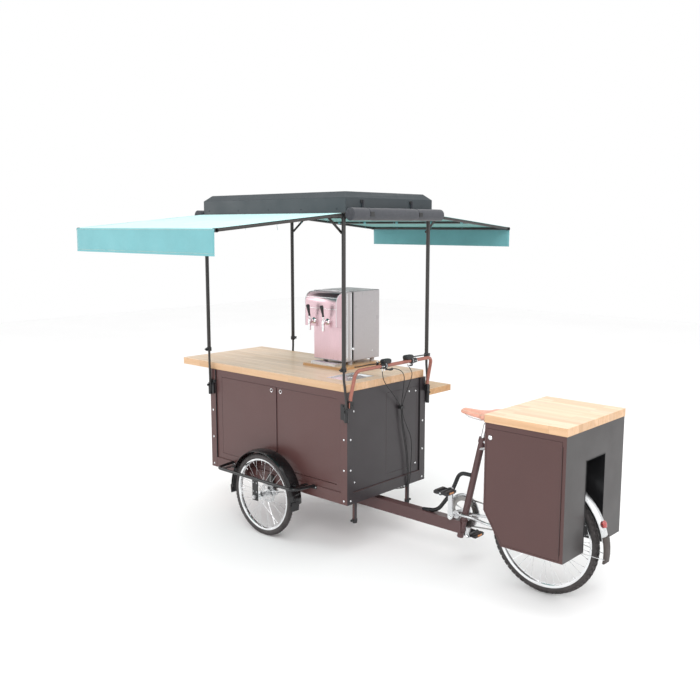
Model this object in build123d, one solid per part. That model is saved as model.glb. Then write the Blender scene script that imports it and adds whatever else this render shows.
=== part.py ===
"""Pedal-driven vending cart: box with counter and awnings in front, saddle and cabinet behind.

Millimetres.  +X forward, +Y left, +Z up, ground at Z = 0.  While modelling, X = 0 is the rear
face of the front box; every node is shifted by -MID_X when it is written.
"""
from build123d import *
import math
import os

# ---- box, counter and floor -------------------------------------------------------------
BOX_LEN = 1317
BOX_HALF = 385
BOX_BOTTOM = 331
BOX_TOP = 1036
POST_W = 55
POST_T = 9
RAIL_TOP = 403
PANEL_T = 2
PANEL_Y = BOX_HALF - POST_T
SKIN = 1.5
FLOOR_Z = BOX_BOTTOM
FLOOR_T = 2.5
COUNTER_REAR = 12
COUNTER_FRONT = 1632
COUNTER_HALF = 380
COUNTER_TOP = 1082
INSET_X = (95, 282)
INSET_Y = (28, 276)

# ---- sliding doors in the left face -----------------------------------------------------
DOOR_X = (97, 1200)
DOOR_Z = (443, 987)
DOOR_SPLIT = 642
DOOR_T = 4
DOOR_GAP = 2
DOOR_LAP = 18
ACCESS_Y = (-300, 10)
ACCESS_Z = (448, 981)

# ---- front wheels and their carriers ----------------------------------------------------
FRONT_X = 684
FRONT_Y = 458
FRONT_R = 275
FRONT_TYRE_R = 23
AXLE_R = 6
RUN_GAP = 0.05
GUARD_Y = 545
GUARD_Z = 400
GUARD_R = 10
GUARD_REAR = 315
GUARD_FRONT = 2 * FRONT_X - GUARD_REAR
FENDER_R = 302
FENDER_Y = 444
FENDER_HALF = 51

# ---- steering head ----------------------------------------------------------------------
KINGPIN_X = FRONT_X
KINGPIN_R = 15
BEAM_HALF = 30
BEAM_Z = (208, 283)
CROSS_Z = (297, FLOOR_Z)

# ---- support legs -----------------------------------------------------------------------
LEG_X = 50
LEG_Y = 262
LEG_R = 10
LEG_FOOT_Z = 181

# ---- poles, roof and awnings ------------------------------------------------------------
POLE_R = 12.5
ROD_R = 8
POLE_Y = 404
POLE_X = (10, 1297)
FOOT_X = (-6, 1301)
FOOT_Y = 399
COLLAR_Z = 1190
RING_Z = (2082, 2107)
ROOF_X = (-14, 1311)
ROOF_HALF = 410
ROOF_SIDE_TOP = 2193
ROOF_TOP = 2230
ROOF_CHAMFER = 42
ROOF_WALL = 1.5
ROLL_R = 38
ROLL_Z = 2097
ROLL_OFFSET = 47
AWN_Y = 430
AWN_Z = 2092
AWN_OUT_Y = 1352
AWN_OUT_Z = 2008
AWN_X = (3, 1308)
AWN_R = 9
FABRIC_T = 2
VALANCE_DROP = 130
BRACE_ARM_Y = 522
BRACE_POLE_Z = 1990

# ---- handlebar --------------------------------------------------------------------------
BAR_X = -57
BAR_Y = 371
BAR_Z = 1175
BAR_R = 11
BAR_FOOT_X = -21
BAR_FOOT_Y = 378
LEVER_PIVOT_X = -24
LEVER_Z = 1186
CABLE_R = 2.5

# ---- drinks dispenser -------------------------------------------------------------------
DISP_X = (402, 702)
DISP_BACK = -375
DISP_SEAL = (-118, -95)
DISP_FACE = -40
DISP_Z = (1128, 1598)
HOOD_FRONT = 50
HOOD_Z = 1365
BOARD_X = (372, 740)
BOARD_Y = (-378, 35)
BOARD_T = 18
TAP_X = (490, 618)
TAP_PIVOT_Z = 1420.5

# ---- side shelf -------------------------------------------------------------------------
SHELF_X = (40, 540)
SHELF_Y = (-730, -392)
SHELF_Z = (890, 930)

# ---- rear frame -------------------------------------------------------------------------
SEAT_TUBE_FOOT = (-572, 0, 181)
SEAT_TUBE_HEAD = (-717, 0, 809)
SEAT_TUBE_R = 20
SEAT_POST_R = 14
BB_X = -562
BB_Z = 322
BB_R = 22
BB_HALF = 34
CRANK_LEN = 170
ARM_Y = 92
CHAIN_Y = -47
RING_PITCH_R = 89.0
COG_PITCH_R = 36.6
CHAIN_HALF = 4
REAR_X = -1134
REAR_R = 330
REAR_TYRE_R = 25
STAY_Y = 66
TAIL_R = 378

# ---- rear cabinet -----------------------------------------------------------------------
CAB_X = (-1421, -942)
CAB_HALF = 322.5
CAB_Z = (336, 998)
CAB_TOP = 1041
CAB_WALL = 2
CAB_CUT_Z = 513.5
CAB_CUT_X = -1057
TUNNEL_HALF = 105
TUNNEL_TOP = 831

MID_X = (COUNTER_FRONT + REAR_X - TAIL_R) / 2
SIDES = (1, -1)


# ---- helpers ----------------------------------------------------------------------------
def block(x, y, z):
    """Box between the two ends of each range."""
    return Pos(sum(x) / 2, sum(y) / 2, sum(z) / 2) * Box(abs(x[1] - x[0]), abs(y[1] - y[0]), abs(z[1] - z[0]))


def ring(radius, inner=0):
    return Circle(radius) - Circle(inner) if inner else Circle(radius)


def rod(start, end, radius, inner=0):
    """Round bar or tube between two points."""
    span = Vector(*end) - Vector(*start)
    return extrude(Plane(origin=start, z_dir=span) * ring(radius, inner), span.length)


def bent(points, radius, corners, inner=0):
    """Round bar or tube along straight runs joined by arcs."""
    path = FilletPolyline(*points, radius=corners)
    return sweep(Plane(origin=path @ 0, z_dir=path % 0) * ring(radius, inner), path=path)


def prism_xz(outline, y0, y1):
    face = make_face(Polyline(*[(x, y0, z) for x, z in outline], close=True))
    return extrude(face, amount=y1 - y0, dir=(0, 1, 0))


def turned(section, centre, low=0, high=360):
    """Section in (radius, offset along Y) turned about Y; angles run from +X towards +Z."""
    solid = revolve(section, axis=Axis.Y, revolution_arc=high - low)
    return Pos(*centre) * Rot(0, -high, 0) * solid


def mirrored(shape, side):
    return shape if side > 0 else mirror(shape, about=Plane.XZ)


def both(shape):
    return [mirrored(shape, side) for side in SIDES]


def stack(*pieces):
    """Pieces cut so that each one only touches those before it."""
    done = []
    for piece in pieces:
        for earlier in done:
            piece = piece - earlier
        done.append(max(piece.solids(), key=lambda solid: solid.volume))
    return done


def cut_up(shape, cells):
    """Divide a shape among box cells, taken in order."""
    pieces = []
    for cell in cells:
        share = shape & cell
        pieces.extend(share.solids())
        shape = shape - cell
    return pieces + list(shape.solids())


def hollow(x, y, z, wall):
    """Void left inside a box with walls of one thickness."""
    return block((x[0] + wall, x[1] - wall), (y[0] + wall, y[1] - wall), (z[0] + wall, z[1] - wall))


def boxed(x, y, z, wall=None):
    """Closed sheet-metal box section."""
    return block(x, y, z) - hollow(x, y, z, wall or SKIN)


def save(node, *shapes):
    solids = []
    for shape in shapes:
        for piece in shape if isinstance(shape, list) else [shape]:
            solids.extend(piece.solids())
    whole = Pos(-MID_X, 0, 0) * Compound(children=solids)
    export_step(whole, f"parts/{node}.step")


def soft_radii(points, share=0.45):
    """Largest arcs that the runs of a cable's route allow."""
    spots = [Vector(*p) for p in points]
    radii = []
    for before, here, after in zip(spots, spots[1:], spots[2:]):
        turn = math.radians((here - before).get_angle(after - here))
        shorter = min((here - before).length, (after - here).length)
        radii.append(min(900, share * shorter / math.tan(turn / 2)))
    return radii


def cable(name, points):
    radii = soft_radii(points)
    print(name, "cable arcs", [round(r) for r in radii])
    return bent(points, CABLE_R, radii)


# ---- front box --------------------------------------------------------------------------
def box_panels():
    """Floor and four skins; the left one frames the sliding doors, the rear one an access panel."""
    ends = (POST_T, BOX_LEN - POST_T)
    inner = PANEL_Y - PANEL_T
    height = (FLOOR_Z, BOX_TOP)
    skin = (inner, PANEL_Y)
    left = [block((ends[0], DOOR_X[0]), skin, height), block((DOOR_X[1], ends[1]), skin, height),
            block(DOOR_X, skin, (height[0], DOOR_Z[0])), block(DOOR_X, skin, (DOOR_Z[1], height[1]))]
    right = block(ends, (-PANEL_Y, -inner), height)
    front = block((ends[1] - PANEL_T, ends[1]), (-inner, inner), height)
    rear_x = (ends[0], ends[0] + PANEL_T)
    rear = block(rear_x, (-inner, inner), height) - block((0, 50), ACCESS_Y, ACCESS_Z)
    cover = block(rear_x, (ACCESS_Y[0] + 1, ACCESS_Y[1] - 1), (ACCESS_Z[0] + 1, ACCESS_Z[1] - 1))
    floor = block((ends[0] + PANEL_T, ends[1] - PANEL_T), (-inner, inner), (FLOOR_Z, FLOOR_Z + FLOOR_T))
    floor -= rod((KINGPIN_X, 0, 300), (KINGPIN_X, 0, 400), 30)
    for side in SIDES:
        floor -= rod((LEG_X, side * LEG_Y, 300), (LEG_X, side * LEG_Y, 400), 15)
    return left + [right, front, rear, cover, floor]


def box_frame():
    """Corner angles, bottom rails, door tracks and the two leg sockets."""
    tall = (BOX_BOTTOM, BOX_TOP)
    post = block((0, POST_W), (PANEL_Y, BOX_HALF), tall)
    post += block((0, POST_T), (BOX_HALF - POST_W, PANEL_Y), tall)
    post -= hollow((0, POST_W), (PANEL_Y, BOX_HALF), tall, SKIN)
    post -= hollow((0, POST_T), (BOX_HALF - POST_W, PANEL_Y + 2 * SKIN), tall, SKIN)
    far = mirror(post, about=Plane(origin=(BOX_LEN / 2, 0, 0), z_dir=(1, 0, 0)))
    low = (BOX_BOTTOM, RAIL_TOP)
    side_rail = boxed((POST_W, BOX_LEN - POST_W), (PANEL_Y, BOX_HALF - 1), low)
    end_half = BOX_HALF - POST_W
    rear_rail = boxed((1, POST_T), (-end_half, end_half), low)
    front_rail = boxed((BOX_LEN - POST_T, BOX_LEN - 1), (-end_half, end_half), low)
    track_y = (PANEL_Y - 2 * DOOR_T - 5, PANEL_Y - PANEL_T)
    lip_y = (track_y[0], track_y[0] + 3)
    sill = block(DOOR_X, track_y, (DOOR_Z[0] - 12, DOOR_Z[0]))
    sill += block(DOOR_X, lip_y, (DOOR_Z[0], DOOR_Z[0] + 10))
    head = block(DOOR_X, track_y, (DOOR_Z[1], DOOR_Z[1] + 12))
    head += block(DOOR_X, lip_y, (DOOR_Z[1] - 10, DOOR_Z[1]))
    socket = rod((LEG_X, LEG_Y, LEG_FOOT_Z + 9), (LEG_X, LEG_Y, FLOOR_Z + 30), 14, LEG_R + RUN_GAP)
    return both(post) + both(far) + both(side_rail) + [rear_rail, front_rail, sill, head] + both(socket)


def rivets():
    """Domed rivets on both faces of each corner angle and the access panel's screws."""
    found = []
    for z in (355, 549, 742):
        for x in (POST_W / 2, BOX_LEN - POST_W / 2):
            found += both(dome((x, BOX_HALF, z), (0, 1, 0), 6.5, 3))
        for x, way in ((0, -1), (BOX_LEN, 1)):
            found += both(dome((x, BOX_HALF - 30, z), (way, 0, 0), 6.5, 3))
    for y, z in ((310, 462), (318, 912), (-292, 461), (-290, 953), (-222, 958)):
        found.append(dome((POST_T, y, z), (-1, 0, 0), 6, 3))
    return found


def dome(base, normal, radius, height):
    """Flat-backed domed head standing on a face."""
    start = Vector(*base)
    axis = Vector(*normal)
    body = rod(base, tuple(start + axis * height), radius)
    return fillet(body.edges().sort_by(Axis(start, axis))[-1], height * 0.8)


def counter_top():
    slab = block((COUNTER_REAR, COUNTER_FRONT), (-COUNTER_HALF, COUNTER_HALF), (BOX_TOP, COUNTER_TOP))
    slab = fillet(slab.edges().filter_by(Axis.Z), 6)
    slab = fillet(slab.faces().sort_by(Axis.Z)[-1].edges(), 2.5)
    return slab - block(INSET_X, INSET_Y, (COUNTER_TOP - 6, COUNTER_TOP + 1))


def steel_inset():
    """Shallow stainless tray let into the counter."""
    tray = block(INSET_X, INSET_Y, (COUNTER_TOP - 6, COUNTER_TOP + 1.5))
    inner_x = (INSET_X[0] + 10, INSET_X[1] - 10)
    inner_y = (INSET_Y[0] + 10, INSET_Y[1] - 10)
    return tray - block(inner_x, inner_y, (COUNTER_TOP - 4, COUNTER_TOP + 2))


def door_leaf(x, y, lock_x, proud):
    """Hollow sheet leaf with its round lock; proud is how far the lock stands out."""
    leaf = boxed(x, (y - DOOR_T, y), (DOOR_Z[0] + DOOR_GAP, DOOR_Z[1] - DOOR_GAP), 1)
    lock = rod((lock_x, y - DOOR_T, 961), (lock_x, y + proud, 961), 9)
    return [leaf - lock, lock]


def sliding_doors():
    """Front leaf lies flush in the opening; the rear leaf runs on the track behind it."""
    front = door_leaf((DOOR_SPLIT, DOOR_X[1] - DOOR_GAP), PANEL_Y, DOOR_SPLIT + 44, 1.4)
    rear = door_leaf((DOOR_X[0] + DOOR_GAP, DOOR_SPLIT + DOOR_LAP), PANEL_Y - DOOR_T - 1, DOOR_SPLIT - 36, 0)
    return front, rear


# ---- steering, front axles and wheels ---------------------------------------------------
def axle_beam():
    """Cross tube under the floor with the steering bearing and the inner wheel plates."""
    x = (KINGPIN_X - 30, KINGPIN_X + 30)
    tube = block(x, (-395, 395), CROSS_Z)
    hollow = block((x[0] + 3, x[1] - 3), (-396, 396), (CROSS_Z[0] + 3, CROSS_Z[1] - 3))
    boss = rod((KINGPIN_X, 0, CROSS_Z[0]), (KINGPIN_X, 0, CROSS_Z[1]), 28)
    body = tube - hollow + boss
    body -= rod((KINGPIN_X, 0, 200), (KINGPIN_X, 0, 400), KINGPIN_R + RUN_GAP)
    plate = block((FRONT_X - 25, FRONT_X + 25), (395, 401), (FRONT_R - 22, BOX_BOTTOM + 60))
    plate -= rod((FRONT_X, 380, FRONT_R), (FRONT_X, 420, FRONT_R), AXLE_R)
    spacer = block((FRONT_X - 25, FRONT_X + 25), (BOX_HALF - 1, 395), (BOX_BOTTOM + 15, BOX_BOTTOM + 60))
    return [body] + both(plate) + both(spacer)


def wheel_guards():
    """Tube hoop round each wheel, its cross bars and the outer plate that carries the axle."""
    reach = BOX_HALF + 1
    hoop = bent([(GUARD_REAR - 30, reach, GUARD_Z), (GUARD_REAR, GUARD_Y, GUARD_Z),
                 (GUARD_FRONT, GUARD_Y, GUARD_Z), (GUARD_FRONT + 30, reach, GUARD_Z)],
                GUARD_R, 40, GUARD_R - 2)
    reach_x = (GUARD_REAR + 25, GUARD_FRONT - 25)
    hoop = cut_up(hoop, [block(reach_x, (500, 600), (300, 500)), block((0, FRONT_X), (0, 600), (300, 500))])
    inner = GUARD_Y - GUARD_R
    bars = []
    for x in (GUARD_REAR + 37, GUARD_FRONT - 37):
        bars.append(block((x - 14, x + 14), (BOX_HALF, inner), (GUARD_Z - 4, GUARD_Z)))
    plate = block((FRONT_X - 26, FRONT_X + 26), (inner - 6, inner), (FRONT_R - 24, GUARD_Z + 6))
    plate -= rod((FRONT_X, 500, FRONT_R), (FRONT_X, 560, FRONT_R), AXLE_R)
    feet = []
    for x in (GUARD_REAR - 30, GUARD_FRONT + 30):
        feet.append(block((x - 22, x + 22), (BOX_HALF - 1, BOX_HALF + 1), (GUARD_Z - 20, GUARD_Z + 3)))
    pieces = hoop + bars + [plate] + feet
    return [mirrored(piece, side) for piece in pieces for side in SIDES]


def front_axles():
    """Through bolts with nuts, and a disc caliper on each inner plate."""
    bolt = rod((FRONT_X, 386, FRONT_R), (FRONT_X, 546, FRONT_R), AXLE_R)
    nut_in = rod((FRONT_X, 386, FRONT_R), (FRONT_X, 394.8, FRONT_R), 11, AXLE_R)
    nut_out = rod((FRONT_X, GUARD_Y - GUARD_R, FRONT_R), (FRONT_X, 544, FRONT_R), 11, AXLE_R)
    jaw = block((FRONT_X - 84, FRONT_X - 44), (406, 426.5), (FRONT_R, FRONT_R + 36))
    jaw = fillet(jaw.edges().filter_by(Axis.Y), 6)
    jaw -= block((FRONT_X - 90, FRONT_X), (415.5, 420.5), (FRONT_R - 1, FRONT_R + 40))
    jaw += block((FRONT_X - 84, FRONT_X - 70), (406, 426.5), (FRONT_R + 4, FRONT_R + 32))
    arm = block((FRONT_X - 84, FRONT_X - 10), (401, 406), (FRONT_R + 14, FRONT_R + 30))
    return [mirrored(piece, side) for piece in (bolt, nut_in, nut_out, jaw + arm) for side in SIDES]


def fender_section(radius, half, lip, thick=2.5):
    """Channel section of a mudguard, open towards the tyre."""
    crown = Pos(radius - thick / 2, 0) * Rectangle(thick, 2 * half)
    edge = Pos(radius - lip / 2, half - thick / 2) * Rectangle(lip, thick)
    return crown + edge + mirror(edge, about=Plane.XZ)


def front_mudguards():
    """Wide arches that reach from the tyre's outer side to the box."""
    centre = (FRONT_X, FENDER_Y, FRONT_R)
    arch = turned(fender_section(FENDER_R, FENDER_HALF, 12), centre, -2, 182)
    tabs = []
    for x in (GUARD_REAR + 51, GUARD_FRONT - 51 - 48):
        tabs.append(block((x, x + 48), (FRONT_Y - 12, FRONT_Y + 12), (GUARD_Z - 4, GUARD_Z)))
    shell = arch
    for tab in tabs:
        shell += tab
    shell -= turned(Pos(FENDER_R - 2.5 - 20, 0) * Rectangle(40, 2 * FENDER_HALF - 5), centre)
    return both(shell)


def wheel(centre, radius, tyre_r, half_hub, flange_r, spokes, lean):
    """Tyre, and the laced wheel of channel rim, flanged hub and straight spokes."""
    cx, cy, cz = centre
    mid = radius - tyre_r
    rim_out = mid - tyre_r * 0.45
    rim_in = rim_out - 17
    carcass = Pos(mid, 0) * (Circle(tyre_r) - Circle(tyre_r - 4))
    carcass -= Pos(rim_out - 15, 0) * Rectangle(30, 2 * tyre_r)
    tyre = turned(carcass, centre)
    well = Pos((rim_out + rim_in) / 2, 0) * Rectangle(rim_out - rim_in, tyre_r * 1.1)
    well -= Pos(rim_out, 0) * Rectangle(16, tyre_r * 1.1 - 5)
    rim = turned(well, centre)
    barrel = Pos((AXLE_R + RUN_GAP + 15) / 2, 0) * Rectangle(15 - AXLE_R - RUN_GAP, 2 * half_hub)
    flange_at = half_hub * 0.72
    for side in SIDES:
        barrel += Pos(flange_r / 2 + 7, side * flange_at) * Rectangle(flange_r - 14, 3)
    hub = turned(barrel, centre)
    laced = rim + hub
    wires = []
    for i in range(spokes):
        side = SIDES[i % 2]
        at = 2 * math.pi * i / spokes
        start = at + side * lean
        low = flange_r - 2
        high = rim_in + 2
        wires.append(rod((cx + low * math.cos(start), cy + side * flange_at, cz + low * math.sin(start)),
                         (cx + high * math.cos(at), cy + side * 4, cz + high * math.sin(at)), 1.2))
    return tyre, laced + wires


def brake_disc(centre, offset, radius, thick=2):
    """Brake rotor carried on the hub's barrel."""
    return turned(Pos((15 + radius) / 2, offset) * Rectangle(radius - 15, thick), centre)


# ---- canopy -----------------------------------------------------------------------------
def canopy_poles():
    """Upper tubes with their collars, bent lower rods, and the ring under the roof."""
    pieces = []
    for top_x, foot_x in zip(POLE_X, FOOT_X):
        tube = rod((top_x, POLE_Y, COLLAR_Z), (top_x, POLE_Y, RING_Z[0]), POLE_R, POLE_R - 2)
        way = 1 if top_x < BOX_LEN / 2 else -1
        near = top_x + way * (POLE_R + 3)
        stub = rod((top_x + way * (POLE_R - 1), POLE_Y, BRACE_POLE_Z), (near + way * 4.3, POLE_Y, BRACE_POLE_Z), 4)
        stub += rod((near + way * 4.3, POLE_Y, BRACE_POLE_Z), (near + way * 6.5, POLE_Y, BRACE_POLE_Z), 7)
        pieces += both(tube + stub)
        pieces += both(rod((top_x, POLE_Y, COLLAR_Z - 24), (top_x, POLE_Y, COLLAR_Z), POLE_R + 3, ROD_R))
        leg = bent([(foot_x, FOOT_Y, 870), (foot_x, FOOT_Y, 985), (top_x, POLE_Y, 1120),
                    (top_x, POLE_Y, COLLAR_Z)], ROD_R, 60)
        pieces += both(leg)
    inside = (POLE_X[0] + 16, POLE_X[1] - 16)
    outer = block((POLE_X[0] - 15, POLE_X[1] + 12), (-ROOF_HALF + 1, ROOF_HALF - 1), RING_Z)
    outer -= block(inside, (-ROOF_HALF + 26, ROOF_HALF - 26), (RING_Z[0] - 1, RING_Z[1] + 1))
    channel_z = (RING_Z[0] + 2, RING_Z[1] + 1)
    channel = block((POLE_X[0] - 13, POLE_X[1] + 10), (3 - ROOF_HALF, ROOF_HALF - 3), channel_z)
    outer -= channel - block((inside[0] - 2, inside[1] + 2), (24 - ROOF_HALF, ROOF_HALF - 24), channel_z)
    sides = [block((-100, 1400), (low, low + 30), RING_Z) for low in (-ROOF_HALF - 4, ROOF_HALF - 26)]
    return pieces + cut_up(outer, sides + [block((-100, 600), (-400, 400), RING_Z)])


def pole_brackets():
    """Corner plates with a sleeve and cross bolt for each pole, and the handlebar's clamp blocks."""
    pieces = []
    for foot_x, plate in zip(FOOT_X, ((0, POST_W - 3), (BOX_LEN - POST_W + 3, BOX_LEN))):
        body = block(plate, (BOX_HALF, BOX_HALF + 4), (866, 962))
        sleeve = rod((foot_x, FOOT_Y, 858), (foot_x, FOOT_Y, 940), 13)
        web = block((min(foot_x, plate[0]), max(foot_x, plate[0] + 20)), (BOX_HALF + 4, FOOT_Y), (866, 940))
        body += sleeve + web
        body -= block((-60, 0), (0, BOX_HALF + 1), (800, 1000))
        body -= rod((foot_x, FOOT_Y, 870), (foot_x, FOOT_Y, 1000), ROD_R)
        bolt = rod((foot_x, FOOT_Y + 12.6, 925), (foot_x, FOOT_Y + 19, 925), 8)
        body -= bolt
        pieces += both(body) + both(bolt)
    clamp = block((-34, 0), (362, BOX_HALF + 3), (944, 984))
    clamp -= rod((BAR_FOOT_X, BAR_FOOT_Y, 900), (BAR_FOOT_X, BAR_FOOT_Y, 1000), BAR_R)
    clamp -= rod((FOOT_X[0], FOOT_Y, 900), (FOOT_X[0], FOOT_Y, 1100), ROD_R + 1)
    clamp -= block((-1, 60), (BOX_HALF - 1, BOX_HALF + 10), (860, 990))
    return pieces + both(clamp)


def canopy_roof():
    """Thin sheet roof with a chamfered top edge and a closed underside."""
    outer = block(ROOF_X, (-ROOF_HALF, ROOF_HALF), (RING_Z[1], ROOF_TOP))
    rise = ROOF_TOP - ROOF_SIDE_TOP
    outer = chamfer(outer.faces().sort_by(Axis.Z)[-1].edges(), rise, ROOF_CHAMFER)
    wall = ROOF_WALL
    inner = hollow(ROOF_X, (-ROOF_HALF, ROOF_HALF), (RING_Z[1], ROOF_TOP), wall)
    inner = chamfer(inner.faces().sort_by(Axis.Z)[-1].edges(), rise, ROOF_CHAMFER)
    return outer - inner


def rolled_curtains():
    """Rolled rain curtain below the roof's front and rear edges."""
    rolls = []
    for x in (ROOF_X[0] - ROLL_OFFSET, ROOF_X[1] + ROLL_OFFSET):
        rolls.append(rod((x, -430, ROLL_Z), (x, 425, ROLL_Z), ROLL_R))
    return rolls


def arm_z(y):
    """Height of the awning arms' axis at a distance from the centre."""
    return AWN_Z + (AWN_OUT_Z - AWN_Z) * (y - AWN_Y) / (AWN_OUT_Y - AWN_Y)


def awning_frame(side):
    """Two arms, three cross bars and the hinge knuckles at the roof."""
    pieces = []
    low_x, high_x = AWN_X
    outer = rod((low_x - AWN_R, AWN_OUT_Y, AWN_OUT_Z), (high_x + AWN_R, AWN_OUT_Y, AWN_OUT_Z), AWN_R, AWN_R - 2)
    pieces.append(outer)
    for x, way, pole_x in zip(AWN_X, (1, -1), POLE_X):
        arm = rod((x, AWN_Y, AWN_Z), (x, AWN_OUT_Y, AWN_OUT_Z), AWN_R, AWN_R - 2)
        pin_end = pole_x + way * (POLE_R + 8)
        z = arm_z(BRACE_ARM_Y)
        arm += rod((x + way * (AWN_R - 1), BRACE_ARM_Y, z), (pin_end, BRACE_ARM_Y, z), 4)
        arm += rod((x - 10, AWN_Y, AWN_Z), (x + 10, AWN_Y, AWN_Z), AWN_R)
        pieces.append(arm - rod((low_x - 20, AWN_OUT_Y, AWN_OUT_Z), (high_x + 20, AWN_OUT_Y, AWN_OUT_Z), AWN_R))
    for y in (450, 870):
        pieces.append(rod((low_x + AWN_R, y, arm_z(y)), (high_x - AWN_R, y, arm_z(y)), AWN_R - 1, AWN_R - 3))
    return [mirrored(piece, side) for piece in stack(*pieces)]


def awning_fabric(side):
    """Cloth laid over the frame, a plain slab."""
    slope = math.atan2(AWN_OUT_Z - AWN_Z, AWN_OUT_Y - AWN_Y)
    lift = AWN_R + 0.3
    outline = []
    for y, up in ((AWN_Y - 8, lift), (AWN_OUT_Y, lift), (AWN_OUT_Y, lift + FABRIC_T), (AWN_Y - 8, lift + FABRIC_T)):
        outline.append((AWN_X[0] - 6, y, arm_z(y) + up / math.cos(slope)))
    sheet = extrude(make_face(Polyline(*outline, close=True)), amount=AWN_X[1] - AWN_X[0] + 12, dir=(1, 0, 0))
    return mirrored(sheet, side)


def awning_valance(side):
    """Skirt that hangs from the outer bar."""
    y = AWN_OUT_Y + AWN_R + FABRIC_T + 0.8
    skirt = block((AWN_X[0] - 8, AWN_X[1] + 8), (y, y + FABRIC_T), (AWN_OUT_Z - VALANCE_DROP, AWN_OUT_Z + 8))
    return mirrored(skirt, side)


def awning_braces(side):
    """Short flat struts that pivot on the poles; each hooks under a pin of the arm."""
    top = Vector(0, BRACE_ARM_Y, arm_z(BRACE_ARM_Y))
    foot = Vector(0, POLE_Y, BRACE_POLE_Z)
    along = (foot - top).normalized()
    plane = Plane(origin=top, x_dir=(0, along.Y, along.Z), z_dir=(1, 0, 0))
    length = (foot - top).length
    flat = Pos(length / 2, 0) * SlotOverall(length + 16, 16)
    flat -= Circle(4.4) + Rot(0, 0, 20) * Pos(0, -10) * Rectangle(8.8, 20)
    flat -= Pos(length, 0) * Circle(4 + RUN_GAP)
    pieces = []
    for pole_x, way in zip(POLE_X, (1, -1)):
        near = pole_x + way * (POLE_R + 3)
        bar = extrude(plane * flat, 4)
        bar = Pos(near if way > 0 else near - 4, 0, 0) * bar
        pieces.append(mirrored(bar, side))
    return pieces


# ---- handlebar and controls -------------------------------------------------------------
def handlebar():
    """Wrapped tube that stands on the box's rear corners."""
    foot = (BAR_FOOT_X, BAR_FOOT_Y, 946)
    knee = (BAR_FOOT_X, BAR_FOOT_Y, 1010)
    corner = (BAR_X, BAR_Y, BAR_Z)
    path = [foot, knee, corner] + [(x, -y, z) for x, y, z in (corner, knee, foot)]
    tube = bent(path, BAR_R, [60, 42, 42, 60], BAR_R - 2)
    space = (-200, 200)
    return cut_up(tube, [block(space, (-320, 320), (900, 1300)), block(space, (0, 500), (900, 1300))])


def perch(y, reach):
    """Clamp, lever bracket and control pod at one hand; reach points towards the bar's end."""
    hole = rod((BAR_X, y - 60, BAR_Z), (BAR_X, y + 60, BAR_Z), BAR_R)
    body = rod((BAR_X, y - 13, BAR_Z), (BAR_X, y + 13, BAR_Z), BAR_R + 5)
    body += block((BAR_X, LEVER_PIVOT_X + 9), (y - 9, y + 9), (LEVER_Z - 17, LEVER_Z - 7.3))
    body += block((BAR_X, LEVER_PIVOT_X + 9), (y - 9, y + 9), (LEVER_Z + 7.3, LEVER_Z + 12))
    inner_end = y - reach * 44
    body += rod((BAR_X, inner_end, BAR_Z), (BAR_X, y, BAR_Z), BAR_R + 8)
    pod_y = (y - reach * 56, y + reach * 12)
    pod = block((BAR_X - 8, BAR_X + 44), pod_y, (LEVER_Z + 10, LEVER_Z + 34))
    body += fillet(pod.edges(), 7)
    return body - hole


def handlebar_fittings():
    """Two perches with pods, and the clip that gathers the cables on the rear panel."""
    clip = block((-17, POST_T), (-140, -104), (862, 878))
    clip -= block((-14.2, -8.8), (-137, -107), (860, 880))
    return [perch(135, 1), perch(-190, -1), clip]


def brake_lever(y, side):
    """Curved blade that pivots beside its perch; side points towards the bar's end."""
    z = LEVER_Z
    hub = rod((LEVER_PIVOT_X, y, z - 7), (LEVER_PIVOT_X, y, z + 7), 8)
    spine = ((0, 0, 5), (18, 52, 5), (17, 100, 4.2), (13, 146, 4), (19, 174, 4.5), (24, 186, 3))
    front = [(LEVER_PIVOT_X + out + half, y + side * reach) for out, reach, half in spine]
    back = [(LEVER_PIVOT_X + out - half, y + side * reach) for out, reach, half in spine]
    face = make_face(Polyline(*[(px, py, z - 6) for px, py in front + back[::-1]], close=True))
    return hub + extrude(face, amount=12, dir=(0, 0, 1))


CABLE_TAIL_X = -11.5
LEFT_CABLE = [(-50, 121, 1154), (-49, 118, 1105), (-46, 76, 1046), (-34, 0, 985), (-22, -66, 925),
              (CABLE_TAIL_X, -100, 893), (CABLE_TAIL_X, -115, 868), (CABLE_TAIL_X, -117, 811),
              (CABLE_TAIL_X, -140, 690), (CABLE_TAIL_X, -172, 560), (CABLE_TAIL_X, -186, 456),
              (CABLE_TAIL_X, -188, 334), (30, -184, 300), (130, -90, 306), (300, 90, 306),
              (450, 270, 306), (540, 375, 304), (595.5, 416, 296)]
REAR_CABLE = [(-50, 98, 1154), (-51, 84, 1142), (-50, 15, 1149), (-49, -66, 1124), (-47, -102, 1085),
              (-42, -104, 1030), (-26, -112, 955), (CABLE_TAIL_X, -119, 893), (CABLE_TAIL_X, -122, 868),
              (CABLE_TAIL_X, -126, 811), (CABLE_TAIL_X, -152, 690), (CABLE_TAIL_X, -184, 560),
              (CABLE_TAIL_X, -197, 456), (CABLE_TAIL_X, -198, 334), (30, -196, 300), (160, -170, 306),
              (380, -90, 306), (560, -26, 306), (653.5, -18, 306)]
RIGHT_CABLE = [(-50, -128, 1154), (-51, -144, 1136), (-50, -184, 1090), (-40, -162, 1022),
               (-24, -144, 955), (CABLE_TAIL_X, -131, 893), (CABLE_TAIL_X, -129, 868),
               (CABLE_TAIL_X, -134, 811), (CABLE_TAIL_X, -176, 735), (CABLE_TAIL_X, -222, 660),
               (CABLE_TAIL_X, -232, 560), (CABLE_TAIL_X, -220, 456), (CABLE_TAIL_X, -212, 334),
               (30, -211, 300), (180, -240, 306), (380, -310, 306), (540, -378, 304), (595.5, -416, 296)]


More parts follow.
